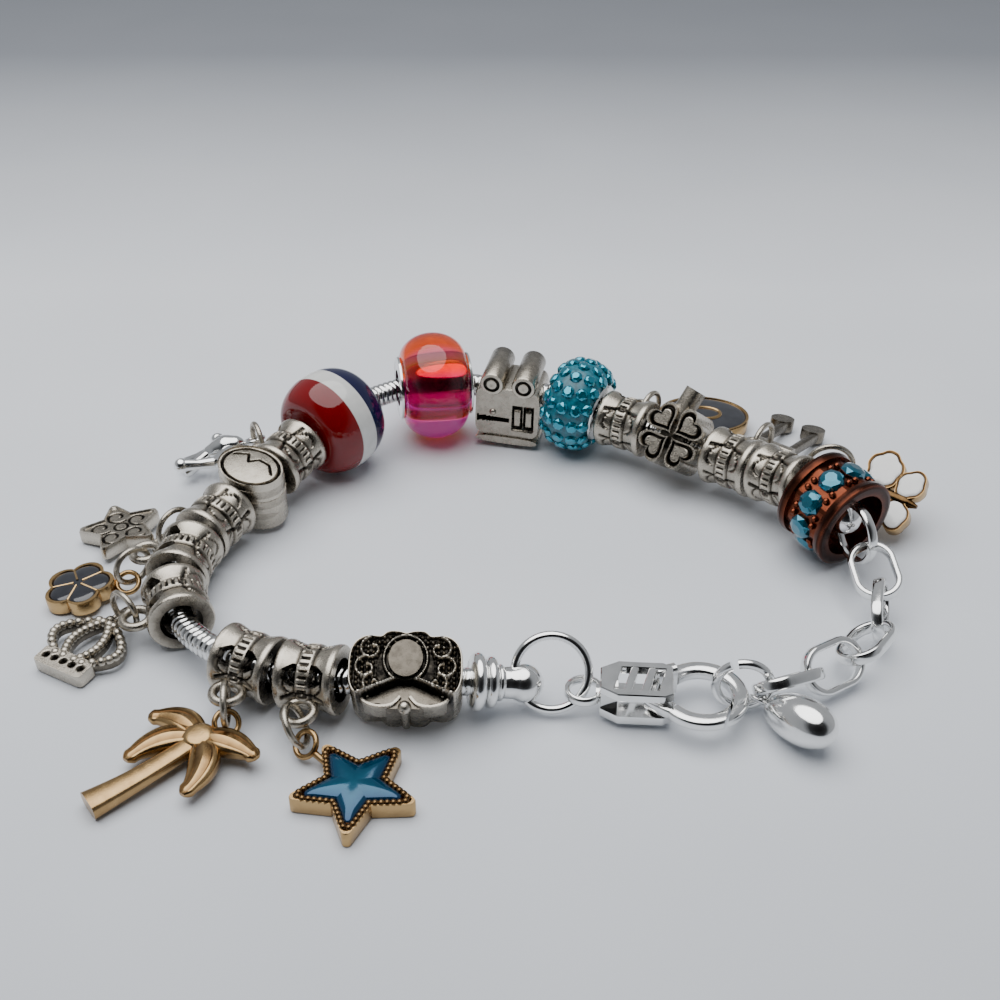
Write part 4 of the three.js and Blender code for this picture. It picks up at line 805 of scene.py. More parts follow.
def bail_bead(piece, m, loop_way):
    """Sleeve with four windows cut through, a soldered loop and its foot.

    Cells whose angle lies inside a window are left out of the outer and the inner wall, and strips
    from wall to wall close the windows and the two ends.
    """
    line, angle, columns = bail_grid()
    nu, count = angle.shape
    along = line[:, None] + 0 * angle
    radius, wear = bail_surface(along, angle)

    def shell(r):
        """Radius r turned about the bead's axis, as one row of points."""
        return np.stack([along, r * np.cos(angle), r * np.sin(angle)], -1).reshape(-1, 3)

    points = np.concatenate([shell(radius), shell(np.full_like(radius, BAIL_BORE))])
    middle = np.abs(line[:-1] + line[1:]) / 2
    near = BAIL_BAND_WIDTH / 2
    hole = ((middle > near) & (middle < near + WINDOW_REACH))[:, None] & columns[None]
    index = np.arange(nu * count).reshape(nu, count)
    lip = nu * count
    a, b = index[:-1], index[1:]
    c, d = np.roll(b, -1, 1), np.roll(a, -1, 1)

    def strip(p, q, pick=slice(None)):
        """Quads from the edge p to q on the outer wall to the same edge on the inner wall."""
        return np.stack([p[pick], q[pick], q[pick] + lip, p[pick] + lip], -1)

    none = np.zeros((1, count), bool)
    quads = np.concatenate([
        np.stack([d, c, b, a], -1)[~hole],
        np.stack([a, b, c, d], -1)[~hole] + lip,
        strip(np.roll(index[0], -1), index[0]),
        strip(index[-1], np.roll(index[-1], -1)),
        strip(c, d, hole & ~np.roll(hole, -1, 1)),
        strip(a, b, hole & ~np.roll(hole, 1, 1)),
        strip(b, c, hole & ~np.vstack([hole[1:], none])),
        strip(d, a, hole & ~np.vstack([none, hole[:-1]])),
    ])
    shade = np.concatenate([wear.reshape(-1), np.full(lip, 0.25)])
    piece.add(move(m, points), quads, np.zeros((0, 3), int), "antique silver", shade, (1, 1, 1))
    loop = frame_from(move(m, [0, 0, LOOP_OFFSET]), m[:3, 0], loop_way)
    ring(piece, loop, LOOP_MEAN, LOOP_WIRE, "antique silver", steps=40, sides=14, wear=0.8)
    foot = straight([0, 0, 2.7], [0, 0, LOOP_OFFSET - LOOP_MEAN], 6)
    sweep(piece, move(m, foot), circle(0.62), "antique silver", hint=m[:3, 0], wear=0.6,
          scale=[1.3, 1.1, 1, 0.9, 0.85, 0.8])


def snake_chain(piece):
    """Tube along the route whose radius is a saw of slanted scales: r = r0 (1 - depth * saw)."""
    pitch, rows, inset = 0.72, 4, 2.6 - SEAT_GAP
    s = np.arange(CAP_LENGTH - inset, REAR_BALL - CAP_LENGTH + inset, 0.14)
    path = route.at(s)
    t = route.along(s)
    out = unit(np.cross(np.broadcast_to(UP, t.shape), t))
    top = np.cross(t, out)
    v = angles(28)[None]
    across = ((v / TAU * rows) % 1) - 0.5
    saw = np.mod(s[:, None] / pitch + 0.55 * np.abs(across) * 2, 1)
    depth = 0.11 * bump(saw - 0.12, 0.22) + 0.05 * saw
    seam = bump(across, 0.07)
    r = (CHAIN_DIAMETER / 2 * (1 - depth - 0.05 * seam))[..., None]
    P = path[:, None] + r * (out[:, None] * np.cos(v)[..., None] + top[:, None] * np.sin(v)[..., None])
    piece.grid(P, "bright silver", wear=np.clip(1 - 6 * depth - 0.3 * seam, 0.05, 1))


def arc_points(cx, cy, r, start, end, n):
    """Arc of a turned profile, its angles in degrees."""
    t = np.radians(np.linspace(start, end, n))
    return np.stack([cx + r * np.cos(t), cy + r * np.sin(t)], -1)


def end_cap(piece, m):
    """Turned profile: two rounded ridges, a waist, a neck and a ball end with a small pip."""
    profile = np.concatenate([
        [[0.02, 0.4], [0.02, 2.4]],
        arc_points(0.75, 2.35, 0.7, 170, 20, 9),
        [[1.55, 2.1]],
        arc_points(2.15, 2.1, 0.58, 160, 20, 8),
        [[2.78, 1.7]],
        arc_points(3.12, 1.62, 0.3, 165, 15, 6),
        [[3.5, 1.62], [4.0, 1.68]],
        arc_points(CAP_LENGTH, 0, 2.0, 125, 14, 14),
        [[CAP_LENGTH + 1.98, 0.42], [CAP_LENGTH + 2.0, 0.1]],
    ])
    revolve(piece, m, profile, "bright silver", steps=56)


def scroll_relief(x, y, s):
    """Lift and colour value of the scroll bead's face, the same on its left and right.

    A dark field at -0.45 carries spirals, a lattice of grains, a ring round the smooth oval boss, a rim and
    two slanted edges. Beyond those edges the face steps down to the bow's floor. The smooth boss is painted
    darker than its metal, as painted shade that dims its reflection.
    """
    ax = np.abs(x)
    field = -0.45
    oval = np.sqrt((x / 1.75) ** 2 + ((y + 0.9) / 2.0) ** 2)
    lift = np.full_like(x, field)
    for cx, cy, cr in ((3.4, -1.9, 1.3), (3.9, 0.1, 1.25), (3.2, 1.8, 1.1), (1.9, 2.9, 0.8)):
        d = np.hypot(ax - cx, y - cy)
        share = np.mod(np.arctan2(y - cy, cx - ax) / TAU + 0.25, 1)
        lift = np.maximum(lift, field + 0.65 * bump(np.abs(d - cr * (0.3 + 0.7 * share)), 0.27))
    grain = np.hypot((ax + 0.27) % 0.54 - 0.27, (y + 0.27) % 0.54 - 0.27)
    lift = np.maximum(lift, np.where(s > 0.5, field + 0.42 * bump(grain, 0.25), -9))
    lift = np.maximum(lift, field + 0.6 * bump(oval - 1.24, 0.13))
    lift = np.where(oval < 1.0, 0.1 + 0.1 * np.clip(1 - oval ** 2, 0, 1), lift)
    lift = np.maximum(lift, field + 0.5 * np.clip((s - 0.93) / 0.04, 0, 1))
    below = y - 0.9 - 0.42 * ax
    lift = np.where(oval > 1.3, np.maximum(lift, field + 0.65 * bump(below + 0.2, 0.26)), lift)
    recess = np.clip(below / 0.2, 0, 1) * (oval > 1.12)
    lift = lift * (1 - recess) - 1.7 * recess
    # painted shade: the boss's low value (0.26) darkens it so that it reflects less of the light
    shade = np.where(oval < 1.0, 0.26, np.clip((lift + 0.38) * 2.4, 0.02, 0.95))
    return lift, shade * (1 - recess) + 0.42 * recess * np.clip((below - 0.25) / 0.6, 0.1, 1)


def scroll_bead(piece, m):
    """Superellipse pinched into wings, raised in relief, with a bow of two curled bands and a post."""
    half, wide, face, back, power = 5.7, 3.9, 3.8, 3.0, 3.2
    t = angles(260)
    r = 1 / (np.abs(np.cos(t) / half) ** power + np.abs(np.sin(t) / wide) ** power) ** (1 / power)
    side_pinch = 0.12 * np.exp(-((np.abs(np.cos(t)) - 0.62) / 0.12) ** 2)
    end_pinch = 0.06 * np.exp(-(np.cos(t) / 0.16) ** 2)
    levels = np.array(slab_levels(-back, face, 0.2, 90))
    levels[3:5, 2] = 1
    stack(piece, m, polar(r * (1 - side_pinch - end_pinch)), levels, "antique silver", scroll_relief)
    curl = along_corners(
        [[0.4, 2.5], [1.2, 3.5], [2.6, 3.7], [3.9, 3.3], [4.5, 2.6], [4.0, 2.3], [3.6, 2.7]],
        np.linspace(0, 6, 61))
    padded = np.pad(curl, ((4, 4), (0, 0)), "edge")
    curl = np.stack([np.convolve(padded[:, k], np.full(9, 1 / 9), "valid") for k in (0, 1)], -1)
    for side in (-1, 1):
        path = np.concatenate([curl * [side, 1], np.full((61, 1), 1.0)], 1)
        sweep(piece, move(m, path), band(0.42, 3.0, 20, 5), "antique silver", hint=m[:3, 2], wear=0.85)
    edge = wide * 0.96
    post = straight([0, edge, -2.6], [0, edge, 2.2], 12)
    sweep(piece, move(m, post), circle(0.45), "antique silver", hint=m[:3, 0], wear=0.8)
    beads(piece, move(m, [[0, edge, 2.3]]), 0.7, m[:3, 1], "antique silver", sides=14, rows=8, sink=1.2)


def leaf_bead(piece, m):
    """Rounded block whose puffed face has an engraved oval and a notched line across it."""
    outline = ellipse(3.3, 4.3, 160)
    notched = np.array([[0.7, 3.1], [1.5, 1.5], [0.35, 0.6], [1.35, -0.3], [1.3, -1.8], [0.2, -3.0]])

    def relief(x, y, s):
        """Puff less a groove, which follows the oval and the line; the groove is dark."""
        outer = np.hypot(x / 2.8, y / 3.75)
        line = np.abs(outer - 1) * 2.8
        for (ax, ay), (bx, by) in zip(notched[:-1], notched[1:]):
            run = (bx - ax) ** 2 + (by - ay) ** 2
            share = np.clip(((x - ax) * (bx - ax) + (y - ay) * (by - ay)) / run, 0, 1)
            line = np.minimum(line, np.hypot(x - ax - share * (bx - ax), y - ay - share * (by - ay)))
        cut = bump(line, 0.19)
        puff = 0.25 * np.clip(1 - outer ** 2, 0, 1)
        return puff - 0.2 - 0.3 * cut, np.clip(0.75 - cut, 0.02, 1)

    stack(piece, m, outline, slab_levels(-3.6, 3.75, 0.3, 60), "antique silver", relief)
    for height, grow in ((2.1, 0.975), (0.4, 0.985), (-1.4, 0.965)):
        lip = np.concatenate([outline * grow, np.full((160, 1), height)], 1)
        sweep(piece, move(m, lip), band(0.3, 1.2, 12, 5), "antique silver", closed=True,
              hint=m[:3, 2], wear=0.75)


def round_profile(length, diameter, shoulder, bore, n=28):
    """Half an ellipse standing on a shoulder radius, closed along the bore."""
    half = length / 2
    t = np.linspace(0, math.pi, n)
    outer = np.stack([half * -np.cos(t), shoulder + (diameter / 2 - shoulder) * np.sin(t)], -1)
    return np.concatenate([outer, [[half, bore / 2], [-half, bore / 2]]])


def striped_bead(piece, m):
    """Round bead whose tint changes along it: red, then white, then navy."""
    red, white, navy = (0.19, 0.001, 0.003), (0.7, 0.7, 0.68), (0.003, 0.005, 0.045)
    stripe = 1.2
    profile = round_profile(9.4, 13.36, 3.915, 5.0, 120)
    along = profile[:, :1]
    tint = np.where(along < -stripe, red, np.where(along < stripe, white, navy))
    revolve(piece, m, profile, "resin", steps=72, closed=True, tint=tint[:, None])


def glass_bead(piece, m):
    """Clear outer shell tinted orange at its crown and magenta at its waist, over a foil tube."""
    magenta, orange = np.array([0.80, 0.035, 0.40]), np.array([0.95, 0.16, 0.0])
    profile = round_profile(8.6, 14.05, 3.7, 6.4, 60)
    warm = np.clip(np.abs(np.sin(angles(72)[None])) * 3.2 - 2.1, 0, 1)[..., None]
    tint = (1 - warm) * magenta + warm * orange
    tint = np.broadcast_to(tint, (len(profile), 72, 3))
    revolve(piece, m, profile, "coloured glass", steps=72, closed=True, tint=tint)


def glass_core(piece, m):
    """Silver flanges turned at both ends of a foil-wrapped sleeve."""
    flange = np.array([[4.8, 2.4], [4.8, 3.9], [4.7, 4.1], [4.45, 4.15], [4.3, 4.0], [4.3, 2.4]])
    for side in (-1, 1):
        revolve(piece, m, flange * [side, 1], "bright silver", steps=56, closed=True, wear=0.9)
    sleeve = [[-4.25, 2.45], [-4.25, 2.95], [4.25, 2.95], [4.25, 2.45]]
    revolve(piece, m, sleeve, "magenta foil", steps=56, closed=True)


def rounded_box(a, b, power=6.0, n=96):
    """Superellipse with half widths a and b."""
    t = angles(n)
    r = 1 / (np.abs(np.cos(t) / a) ** power + np.abs(np.sin(t) / b) ** power) ** (1 / power)
    return polar(r)


def reel_bead(piece, m):
    """Rounded block on a foot plate with a mouth slot, two tubes with ringed ends and two windows."""
    def relief(x, y, s):
        """A deep mouth slot and the rims of two windows cut into the face, all dark."""
        mouth = (y > -1.35) & (y < -0.75) & (x < 0.3) & (x > -4.0)
        cut = np.zeros_like(x)
        for cx in (1.4, 2.9):
            d = np.maximum(np.abs(x - cx) / 0.55, np.abs(y + 0.6) / 1.5)
            cut = np.maximum(cut, bump(d - 1, 0.3))
        return np.where(mouth, -1.6, 0.0) - 0.35 * cut, np.clip(0.75 - cut - 0.75 * mouth, 0.02, 1)

    block, foot = offset(m, 0, -1.6, 0), offset(m, 0.1, -5.6, 0)
    stack(piece, block, rounded_box(4.3, 3.6), slab_levels(-3.5, 3.5, 0.25, 60), "antique silver", relief)
    stack(piece, foot, rounded_box(4.2, 0.5, 3.0), slab_levels(-3.8, 3.8, 0.15, 6), "antique silver",
          wear=0.8)
    tube = np.array([  # along, radius, wear
        [-3.8, 0.2, 0.5], [-3.8, 1.45, 0.8], [-3.6, 1.6, 0.7], [3.7, 1.6, 0.7], [3.9, 1.45, 0.95],
        [3.95, 1.1, 0.95], [3.7, 1.0, 0.05], [3.7, 0.75, 0.05], [3.95, 0.65, 0.9], [4.0, 0.3, 0.9],
        [3.9, 0.05, 0.8],
    ])
    for side in (-1, 1):
        upright = turned(offset(m, side * 2.1, 2.7, 0), 1, -90)
        revolve(piece, upright, tube[:, :2], "antique silver", steps=40, wear=tube[:, 2:])
    beads(piece, move(m, [[-1.9, -1.6, 3.35]]), 0.5, m[:3, 2], "antique silver", sides=12, rows=6, wear=0.9)


def pave_bead(piece, m):
    """Clay swell between silver rims with brilliants on a staggered lattice of its surface."""
    half, rim, rise, spacing, teal = 3.5, 3.7, 2.1, 2.2, [0.008, 0.30, 0.42]
    swell = half - 0.35
    t = np.linspace(0, math.pi, 26)
    outer = np.stack([-swell * np.cos(t), rim + rise * np.sin(t)], -1)
    clay = np.concatenate([outer, [[half - 0.4, 2.6], [-half + 0.4, 2.6]]])
    revolve(piece, m, clay, "teal clay", steps=64, closed=True)
    collar = np.array([[half, 2.5], [half, 3.6], [half - 0.2, 3.8], [half - 0.5, 3.75], [half - 0.5, 2.5]])
    for side in (-1, 1):
        revolve(piece, m, collar * [side, 1], "bright silver", steps=56, closed=True, wear=0.8)
    centres, normals = [], []
    for row, lean in enumerate(np.radians([22, 56, 90, 124, 158])):
        around = rim + rise * math.sin(lean)
        count = int(TAU * around / spacing)
        turn = angles(count) + (row % 2) * math.pi / count
        n = unit([-math.cos(lean) * rise, math.sin(lean) * swell])
        for rows, x, r in ((centres, -swell * math.cos(lean), around), (normals, n[0], n[1])):
            rows.append(np.stack([np.full(count, x), r * np.cos(turn), r * np.sin(turn)], -1))
    centres, normals = np.concatenate(centres), np.concatenate(normals)
    stones(piece, move(m, centres + normals * 0.05), normals @ m[:3, :3].T, 1.75, "crystal", height=0.3,
           tint=np.tile([teal], (len(centres), 1)))


def heart(n=96):
    """Heart curve with its point at the origin and its lobes towards +X, about one unit long."""
    t = angles(n)
    x = (13 * np.cos(t) - 5 * np.cos(2 * t) - 2 * np.cos(3 * t) - np.cos(4 * t))
    y = 16 * np.sin(t) ** 3
    return np.stack([(x + 17) / 29, y / 29], -1)


def clover_bead(piece, m):
    """Four heart leaves, each with a raised rim, a black groove and a raised heart, and a stem."""
    size, middle = 3.85, 0.56
    shape = (heart(120) - [middle, 0.0]) * size

    def relief(x, y, s):
        """Groove at 0.7 of the outline, dark."""
        groove = bump(s - 0.70, 0.16)
        return -0.45 * groove, np.clip(0.85 - groove, 0.02, 1)

    for turn in (45, 135, 225, 315):
        place = offset(turned(m, 2, turn), 0.25 + middle * size, 0, 0)
        stack(piece, place, shape, slab_levels(-3.8, 3.85, 0.25, 26), "antique silver", relief)
    core = [[-3.8, 0.1], [-3.8, 1.6], [3.2, 1.6], [3.3, 0.1]]
    revolve(piece, turned(m, 1, -90), core, "antique silver", steps=24, wear=0.1)
    stem = straight([-0.6, 2.2, 1.6], [0.2, 6.4, 1.6], 12)
    sweep(piece, move(m, stem), band(2.3, 3.2, 24, 3.5), "antique silver", hint=m[:3, 2], wear=0.75)


def channel_bead(piece, m):
    """Two flat rims with a dark channel between them, set round with large teal brilliants."""
    half, outer, channel, bore, count, teal = 3.65, 5.6, 4.95, 4.1, 9, [0.004, 0.16, 0.24]
    rim = np.array([  # along, radius, wear
        [half, bore, 0.7], [half, outer - 0.5, 0.25], [half - 0.12, outer - 0.1, 0.7],
        [half - 0.5, outer, 0.35], [half - 1.15, outer - 0.15, 0.8], [half - 1.2, bore, 0.6],
    ])
    for side in (-1, 1):
        revolve(piece, m, rim[:, :2] * [side, 1], "copper", steps=72, closed=True, wear=rim[:, 2:])
    floor = [[-2.6, bore], [-2.6, channel], [2.6, channel], [2.6, bore]]
    revolve(piece, m, floor, "copper", steps=64, closed=True, wear=0.85,
            swell=lambda along, turn: 0.12 * np.cos(turn * count))
    turn = angles(count)
    normals = np.stack([0 * turn, np.cos(turn), np.sin(turn)], -1)
    stones(piece, move(m, normals * (channel + 0.12)), normals @ m[:3, :3].T, 3.2, "crystal",
           table=0.45, height=0.3, tint=np.tile([teal], (count, 1)))
    grains, r = [], channel + 0.1
    for side in (-1, 1):
        for shift in (-0.1, 0.1):
            a = turn + TAU / count / 2 + shift
            grains.append(np.stack([np.full(count, side * 1.5), r * np.cos(a), r * np.sin(a)], -1))
    grains = move(m, np.concatenate(grains))
    beads(piece, grains, 0.42, m[:3, 0], "copper", sink=1.4, rows=6, wear=1.0)


# Fastening

def stadium(length, width, n=64):
    """Circle pulled out along X into a long link: x moves by the sign of x times half the excess."""
    t = angles(n) + math.pi / n
    r = width / 2
    return np.stack([r * np.cos(t) + np.sign(np.cos(t)) * (length - width) / 2, r * np.sin(t), 0 * t], -1)


def link(piece, m, length, width, wide, thick):
    """Flat band bent into a closed stadium of the given outer length and width."""
    path = stadium(length - thick, width - thick)
    sweep(piece, move(m, path), band(thick, wide, 20, 3.2), "bright silver", closed=True, hint=m[:3, 2])


claw_centre = route.at(KNOTS["claw"]) * [1, 1, 0] + [0, 0, CLASP_HEIGHT]
clasp = frame_from(claw_centre, (route.at(KNOTS["clasp_eye"]) - claw_centre) * [1, 1, 0], UP)


def split_bar(piece, beyond, end, section, steps=60):
    """Bar along the claw's circle whose first end is cut by the slanted line that the gate parts on.

    At radius r the line that lies split + beyond from the centre, along its normal, is met at the
    normal's angle less acos((split + beyond) / r); the other end is square, at angle end.
    """
    normal, split = rad(164.04), 3.113
    r = CLAW_MEAN + section[:, 0]
    first = normal - np.arccos(np.clip((split + beyond) / r, -1, 1))
    u = np.linspace(0, 1, steps)[:, None]
    a = first[None] + u * (rad(end) - first[None])
    P = np.stack([r * np.cos(a), r * np.sin(a), section[None, :, 1] + 0 * a], -1)
    piece.grid(move(clasp, P), "bright silver")


def openwork_plate(piece, m, outline, low, high):
    """Plate with a slanted opening cut through, and two slanted bars across it.

    Each point of the outline is joined to the point of the opening in the same direction, which lies
    where its ray first meets one of the opening's four sides.
    """
    left, right, half, slant, bevel = 2.36, 2.16, 1.65, 0.25, 0.12
    way = unit(outline)
    skew = way[:, 0] - slant * way[:, 1]
    reach = 1 / np.maximum(np.maximum(skew / right, -skew / left), np.abs(way[:, 1]) / half)
    opening = way * reach[:, None]
    edge = bevel / np.linalg.norm(outline - opening, axis=1)
    at_rim, inside = 0 * edge, 1 + 0 * edge
    share = np.stack([edge, at_rim, at_rim, edge, 1 - edge, inside, inside, 1 - edge], 1)[..., None]
    height = np.array([low, low + bevel, high - bevel, high, high, high - bevel, low + bevel, low])
    plan = outline[:, None] * (1 - share) + opening[:, None] * share
    P = np.concatenate([plan, np.broadcast_to(height[None, :, None], (len(outline), 8, 1))], -1)
    piece.grid(move(m, P), "bright silver", close_u=True)
    y = np.linspace(-half - 0.3, half + 0.3, 10)
    for middle in (-1.0, 0.8):
        bar = np.stack([middle + slant * y, y, (low + high) / 2 + 0 * y], -1)
        sweep(piece, move(m, bar), band(0.84, 0.94, 20, 4), "bright silver", hint=UP)


def clasp_body(piece):
    """Claw swept along its arc, an openwork plate over a plain one, a bridge and an eye."""
    silver = "bright silver"
    split_bar(piece, 0.3, 318, band(1.8, 1.6, 24, 2.6))
    root = straight([2.7, -2.6, 0], [4.6, -1.8, 0], 10)
    sweep(piece, move(clasp, root), band(1.4, 3.6, 20, 4), silver, wear=0.8)
    shape = np.array([
        [3.0, -2.1], [3.9, -2.6], [8.6, -2.6], [10.4, -1.5],
        [10.4, 1.5], [8.6, 2.6], [3.9, 2.6], [3.0, 2.1],
    ])
    centre = shape.mean(axis=0)
    closed = np.concatenate([shape, shape[:1]]) - centre
    outline = along_corners(closed, np.linspace(0, 8, 240, endpoint=False))
    plates = offset(clasp, *centre)
    openwork_plate(piece, plates, outline, 1.0, 2.0)
    stack(piece, plates, outline, slab_levels(-2.0, -1.0, 0.22, 8), silver, wear=0.9)
    bridge = straight([8.6, 0, 0], [10.3, 0, 0], 8)
    sweep(piece, move(clasp, bridge), band(2.8, 3.8, 24, 5), silver, wear=0.7)
    arm = straight([10.0, 0, 0], [10.8, 0, 0], 6)
    sweep(piece, move(clasp, arm), band(1.6, 1.1, 16, 3), silver)
    ring(piece, offset(clasp, EYE_OFFSET), 1.77, 0.34, silver, steps=40, flat=1.6)


def clasp_gate(piece):
    """Curved bar that closes the claw, its arm into the body, and its round thumb tab."""
    split_bar(piece, 0.0, 40, band(1.75, 1.36, 24, 3.0))
    arm = np.stack([np.linspace(2.98, 5.4, 14), 2.5 - 1.6 * np.linspace(0, 1, 14) ** 1.2, np.zeros(14)], -1)
    sweep(piece, move(clasp, arm), band(1.7, 1.36, 20, 3.5), "bright silver")
    lever = straight([5.2, 0.4, 0], [4.35, -3.3, 0], 12)
    sweep(piece, move(clasp, lever), band(1.0, 1.34, 20, 3.5), "bright silver")
    ring(piece, offset(clasp, 4.35, -3.35), 0.34, 0.33, "bright silver", steps=24, flat=1.9)


eye_point = move(clasp, [EYE_OFFSET, 0, 0])
front_ball = route.at(KNOTS["front_ball"])
front_axis = frame_from(front_ball, route.at(0.0) - route.at(CAP_LENGTH), UP)
front_hole = move(front_axis, [-CAP_SETBACK, 0, 0])
big_frame, _, _ = ring_through(eye_point, front_hole, BIG_MEAN, [0, math.sin(rad(33)), math.cos(rad(33))])
rear_axis = frame_at(REAR_BALL - CAP_LENGTH / 2, 0, CAP_LENGTH / 2)
open_frame = frame_from(
    move(clasp, [-CLAW_MEAN - CLAW_BEYOND, -1.1, 3.3 - CLASP_HEIGHT + 0.1]), -clasp[:3, 0], clasp[:3, 1])


def open_ring(piece):
    """Round wire bent into most of a circle, its cut ends a little apart."""
    t = np.radians(112 + 7 + np.linspace(0, 346, 60))
    path = np.stack([OPEN_MEAN * np.cos(t), OPEN_MEAN * np.sin(t), 0 * t], -1)
    sweep(piece, move(open_frame, path), circle(0.5, 14), "bright silver", hint=open_frame[:3, 2])


def heart_drop(piece):
    """Polished puffed drop turned from a smooth profile, dimpled at its top, with a small eye."""
    at = rad(-48)
    eye = move(open_frame, [OPEN_MEAN * math.cos(at), OPEN_MEAN * math.sin(at), 0])
    way = np.array([0.62, -0.78, (2.5 - eye[2]) / (8.6 * 0.6)])
    wire = open_frame[:3, :3] @ np.array([-math.sin(at), math.cos(at), 0])
    m = frame_from(eye, way, wire)
    share = np.linspace(0.01, math.pi - 0.01, 34)
    along = 1.1 + 4.3 * (1 - np.cos(share))
    radius = 2.5 * np.sin(share) ** 0.9 * (1 - 0.10 * np.cos(share))
    revolve(piece, m, np.stack([along, radius], -1), "bright silver", steps=48)
    ring(piece, m, 1.05, 0.25, "bright silver", steps=32)


# Pendants, drawn from their eye towards +X with their face up

EYE_REACH = 1.55


def edge_beads(piece, m, outline, height, radius, count, mat, **look):
    """Grains at equal steps along an outline."""
    loop = np.concatenate([outline, outline[:1]])
    run = np.concatenate([[0], np.cumsum(np.linalg.norm(np.diff(loop, axis=0), axis=1))])
    s = np.linspace(0, run[-1], count, endpoint=False)
    centres = np.stack([np.interp(s, run, loop[:, 0]), np.interp(s, run, loop[:, 1]), height + 0 * s], -1)
    beads(piece, move(m, centres), radius, m[:3, 2], mat, **look)


def starfish(piece, m):
    """Star with a gold wall, a dark beaded border and a domed enamel star."""
    gold, low, high, tip = "bronze gold", -1.7, 0.1, 7.2
    outline = spun(star_outline(tip, 3.3), 169)
    centre = 1.6 + tip * math.cos(rad(11)) - 1.05
    at = offset(m, centre)
    neck = straight([1.3, 0, -0.3], [centre - 4.3, 0, -0.3], 8)
    sweep(piece, move(m, neck), circle(0.36), gold, hint=m[:3, 2], wear=0.7)

    def relief(x, y, s):
        """Sunk dark band between 0.78 and 0.93 of the outline."""
        field = (s < 0.93) & (s > 0.78)
        return np.where(field, -0.2, 0.0), np.where(field, 0.02, 0.85)

    stack(piece, at, outline, slab_levels(low, high, 0.15, 40), gold, relief)
    edge_beads(piece, at, outline * 0.87, high - 0.1, 0.4, 64, gold, wear=0.3)
    inward = np.linspace(0, 1, 18)[:, None, None]
    tint = (1 - inward) * np.array([0.001, 0.02, 0.09]) + inward * np.array([0.001, 0.09, 0.155])
    stack(piece, at, outline, dome(0.77, 0.01, high - 0.1, high + 0.45, 16), "blue enamel", tint=tint)


def frond(piece, m, hub, turn, bend, length, half_width):
    """Cast leaf along a bending midline: flat walls, a puffed top with one groove, a blunt tip."""
    t = np.linspace(0.02, 1.0, 30)
    a = np.radians(turn + bend * t)
    path = np.stack([hub + length * t * np.cos(a), length * t * np.sin(a), 0 * t], -1)
    swell = 0.55 + 0.45 * np.sin(np.pi * np.clip(t * 1.15, 0, 1))
    swell = swell * np.clip((1.01 - t) / 0.07, 0.2, 1) ** 0.5
    section = band(2 * half_width, 2.0, 36, 3.0)
    on_top = section[:, 1] > 0
    groove = bump(np.abs(section[:, 0]) - 0.42 * half_width, 0.2 * half_width) * on_top
    section[:, 1] -= 0.28 * groove
    wear = np.where(section[:, 1] > 0, 0.8, 0.55) * (1 - 0.75 * groove)
    sweep(piece, move(m, path), section, "bronze gold", hint=m[:3, 2], scale=swell, wear=wear[None])


def palm_tree(piece, m):
    """Four grooved fronds round a hub and a flat-walled trunk that widens to its foot."""
    gold, hub = "bronze gold", EYE_REACH + 1.6
    for turn, bend, length in [(136, -20, 6.8), (88, -40, 7.3), (-55, 37, 7.3), (-106, 38, 6.5)]:
        frond(piece, m, hub, turn, bend, length, 1.55)
    t = np.linspace(0, 1, 60)
    path = np.stack([hub + 12.35 * t, 0.1 + 0.5 * t + 0.3 * np.sin(t * 3), 0 * t - 0.05], -1)
    width = 0.72 - 0.04 * np.sin(np.pi * t) + 0.30 * t ** 2
    sweep(piece, move(m, path), band(3.1, 2.0, 36, 3.0), gold, hint=m[:3, 2], scale=width, wear=0.75)
    boss = dome(1.0, 0.02, 0.3, 0.95, 8)
    stack(piece, offset(m, hub), ellipse(1.7, 1.7, 40), boss, gold, wear=0.8)


def crown(piece, m):
    """Beaded arches over a pierced base bar."""
    silver, top, foot = "antique silver", 1.35, 7.95
    t = np.linspace(0, 1, 12)
    for bulge in (4.2, -4.2, 1.68, -1.68):
        path = np.stack([top + t * 6.6, np.sin(t * math.pi * 0.86) * bulge * 1.05, 0 * t], -1)
        fine = along_corners(path, np.linspace(0, 11, 60))
        sweep(piece, move(m, fine), band(1.0, 1.3, 16, 3), silver, hint=m[:3, 2], wear=0.35)
        beads(piece, move(m, path + [0, 0, 0.45]), 0.56, m[:3, 2], silver, sides=10, rows=5, wear=0.9)

    def relief(x, y, s):
        """Five round pits in a row across the bar, dark."""
        pit = np.zeros_like(x)
        for k in range(-2, 3):
            pit = np.maximum(pit, np.clip(1.3 - np.hypot(x, y - k * 1.21) / 0.38, 0, 1))
        return -0.5 * pit, np.clip(0.8 - 1.4 * pit, 0.02, 1)

    base = rounded_box(1.3, 3.3, 8, 120)
    stack(piece, offset(m, foot + 0.8), base, slab_levels(-0.8, 0.8, 0.12, 40), silver, relief)


def enamel_field(edge):
    """Relief of a plate whose face is sunk and dark inside a share of its outline."""
    def relief(x, y, s):
        """Sunk and dark inside the edge, level and worn outside it."""
        return np.where(s < edge, -0.2, 0.0), np.where(s < edge, 0.1, 0.9)

    return relief


def flower(piece, m):
    """Petalled outline with a gold wall and rim round dark domed enamel."""
    outline = polar(3.1 + 0.95 * np.abs(np.sin(2.5 * angles(180))) ** 0.8)
    at = offset(m, EYE_REACH + 4.1 - 0.2)
    stack(piece, at, outline, slab_levels(-0.9, 0.8, 0.12, 30), "bronze gold", enamel_field(0.86))
    stack(piece, at, outline, dome(0.85, 0.01, 0.62, 0.95, 12), "black enamel")
    for a in angles(5):
        c, s = math.cos(a), math.sin(a)
        spoke = straight([0.5 * c, 0.5 * s, 0.95], [2.9 * c, 2.9 * s, 0.72], 10)
        sweep(piece, move(at, spoke), circle(0.16, 8), "bronze gold", hint=m[:3, 2])


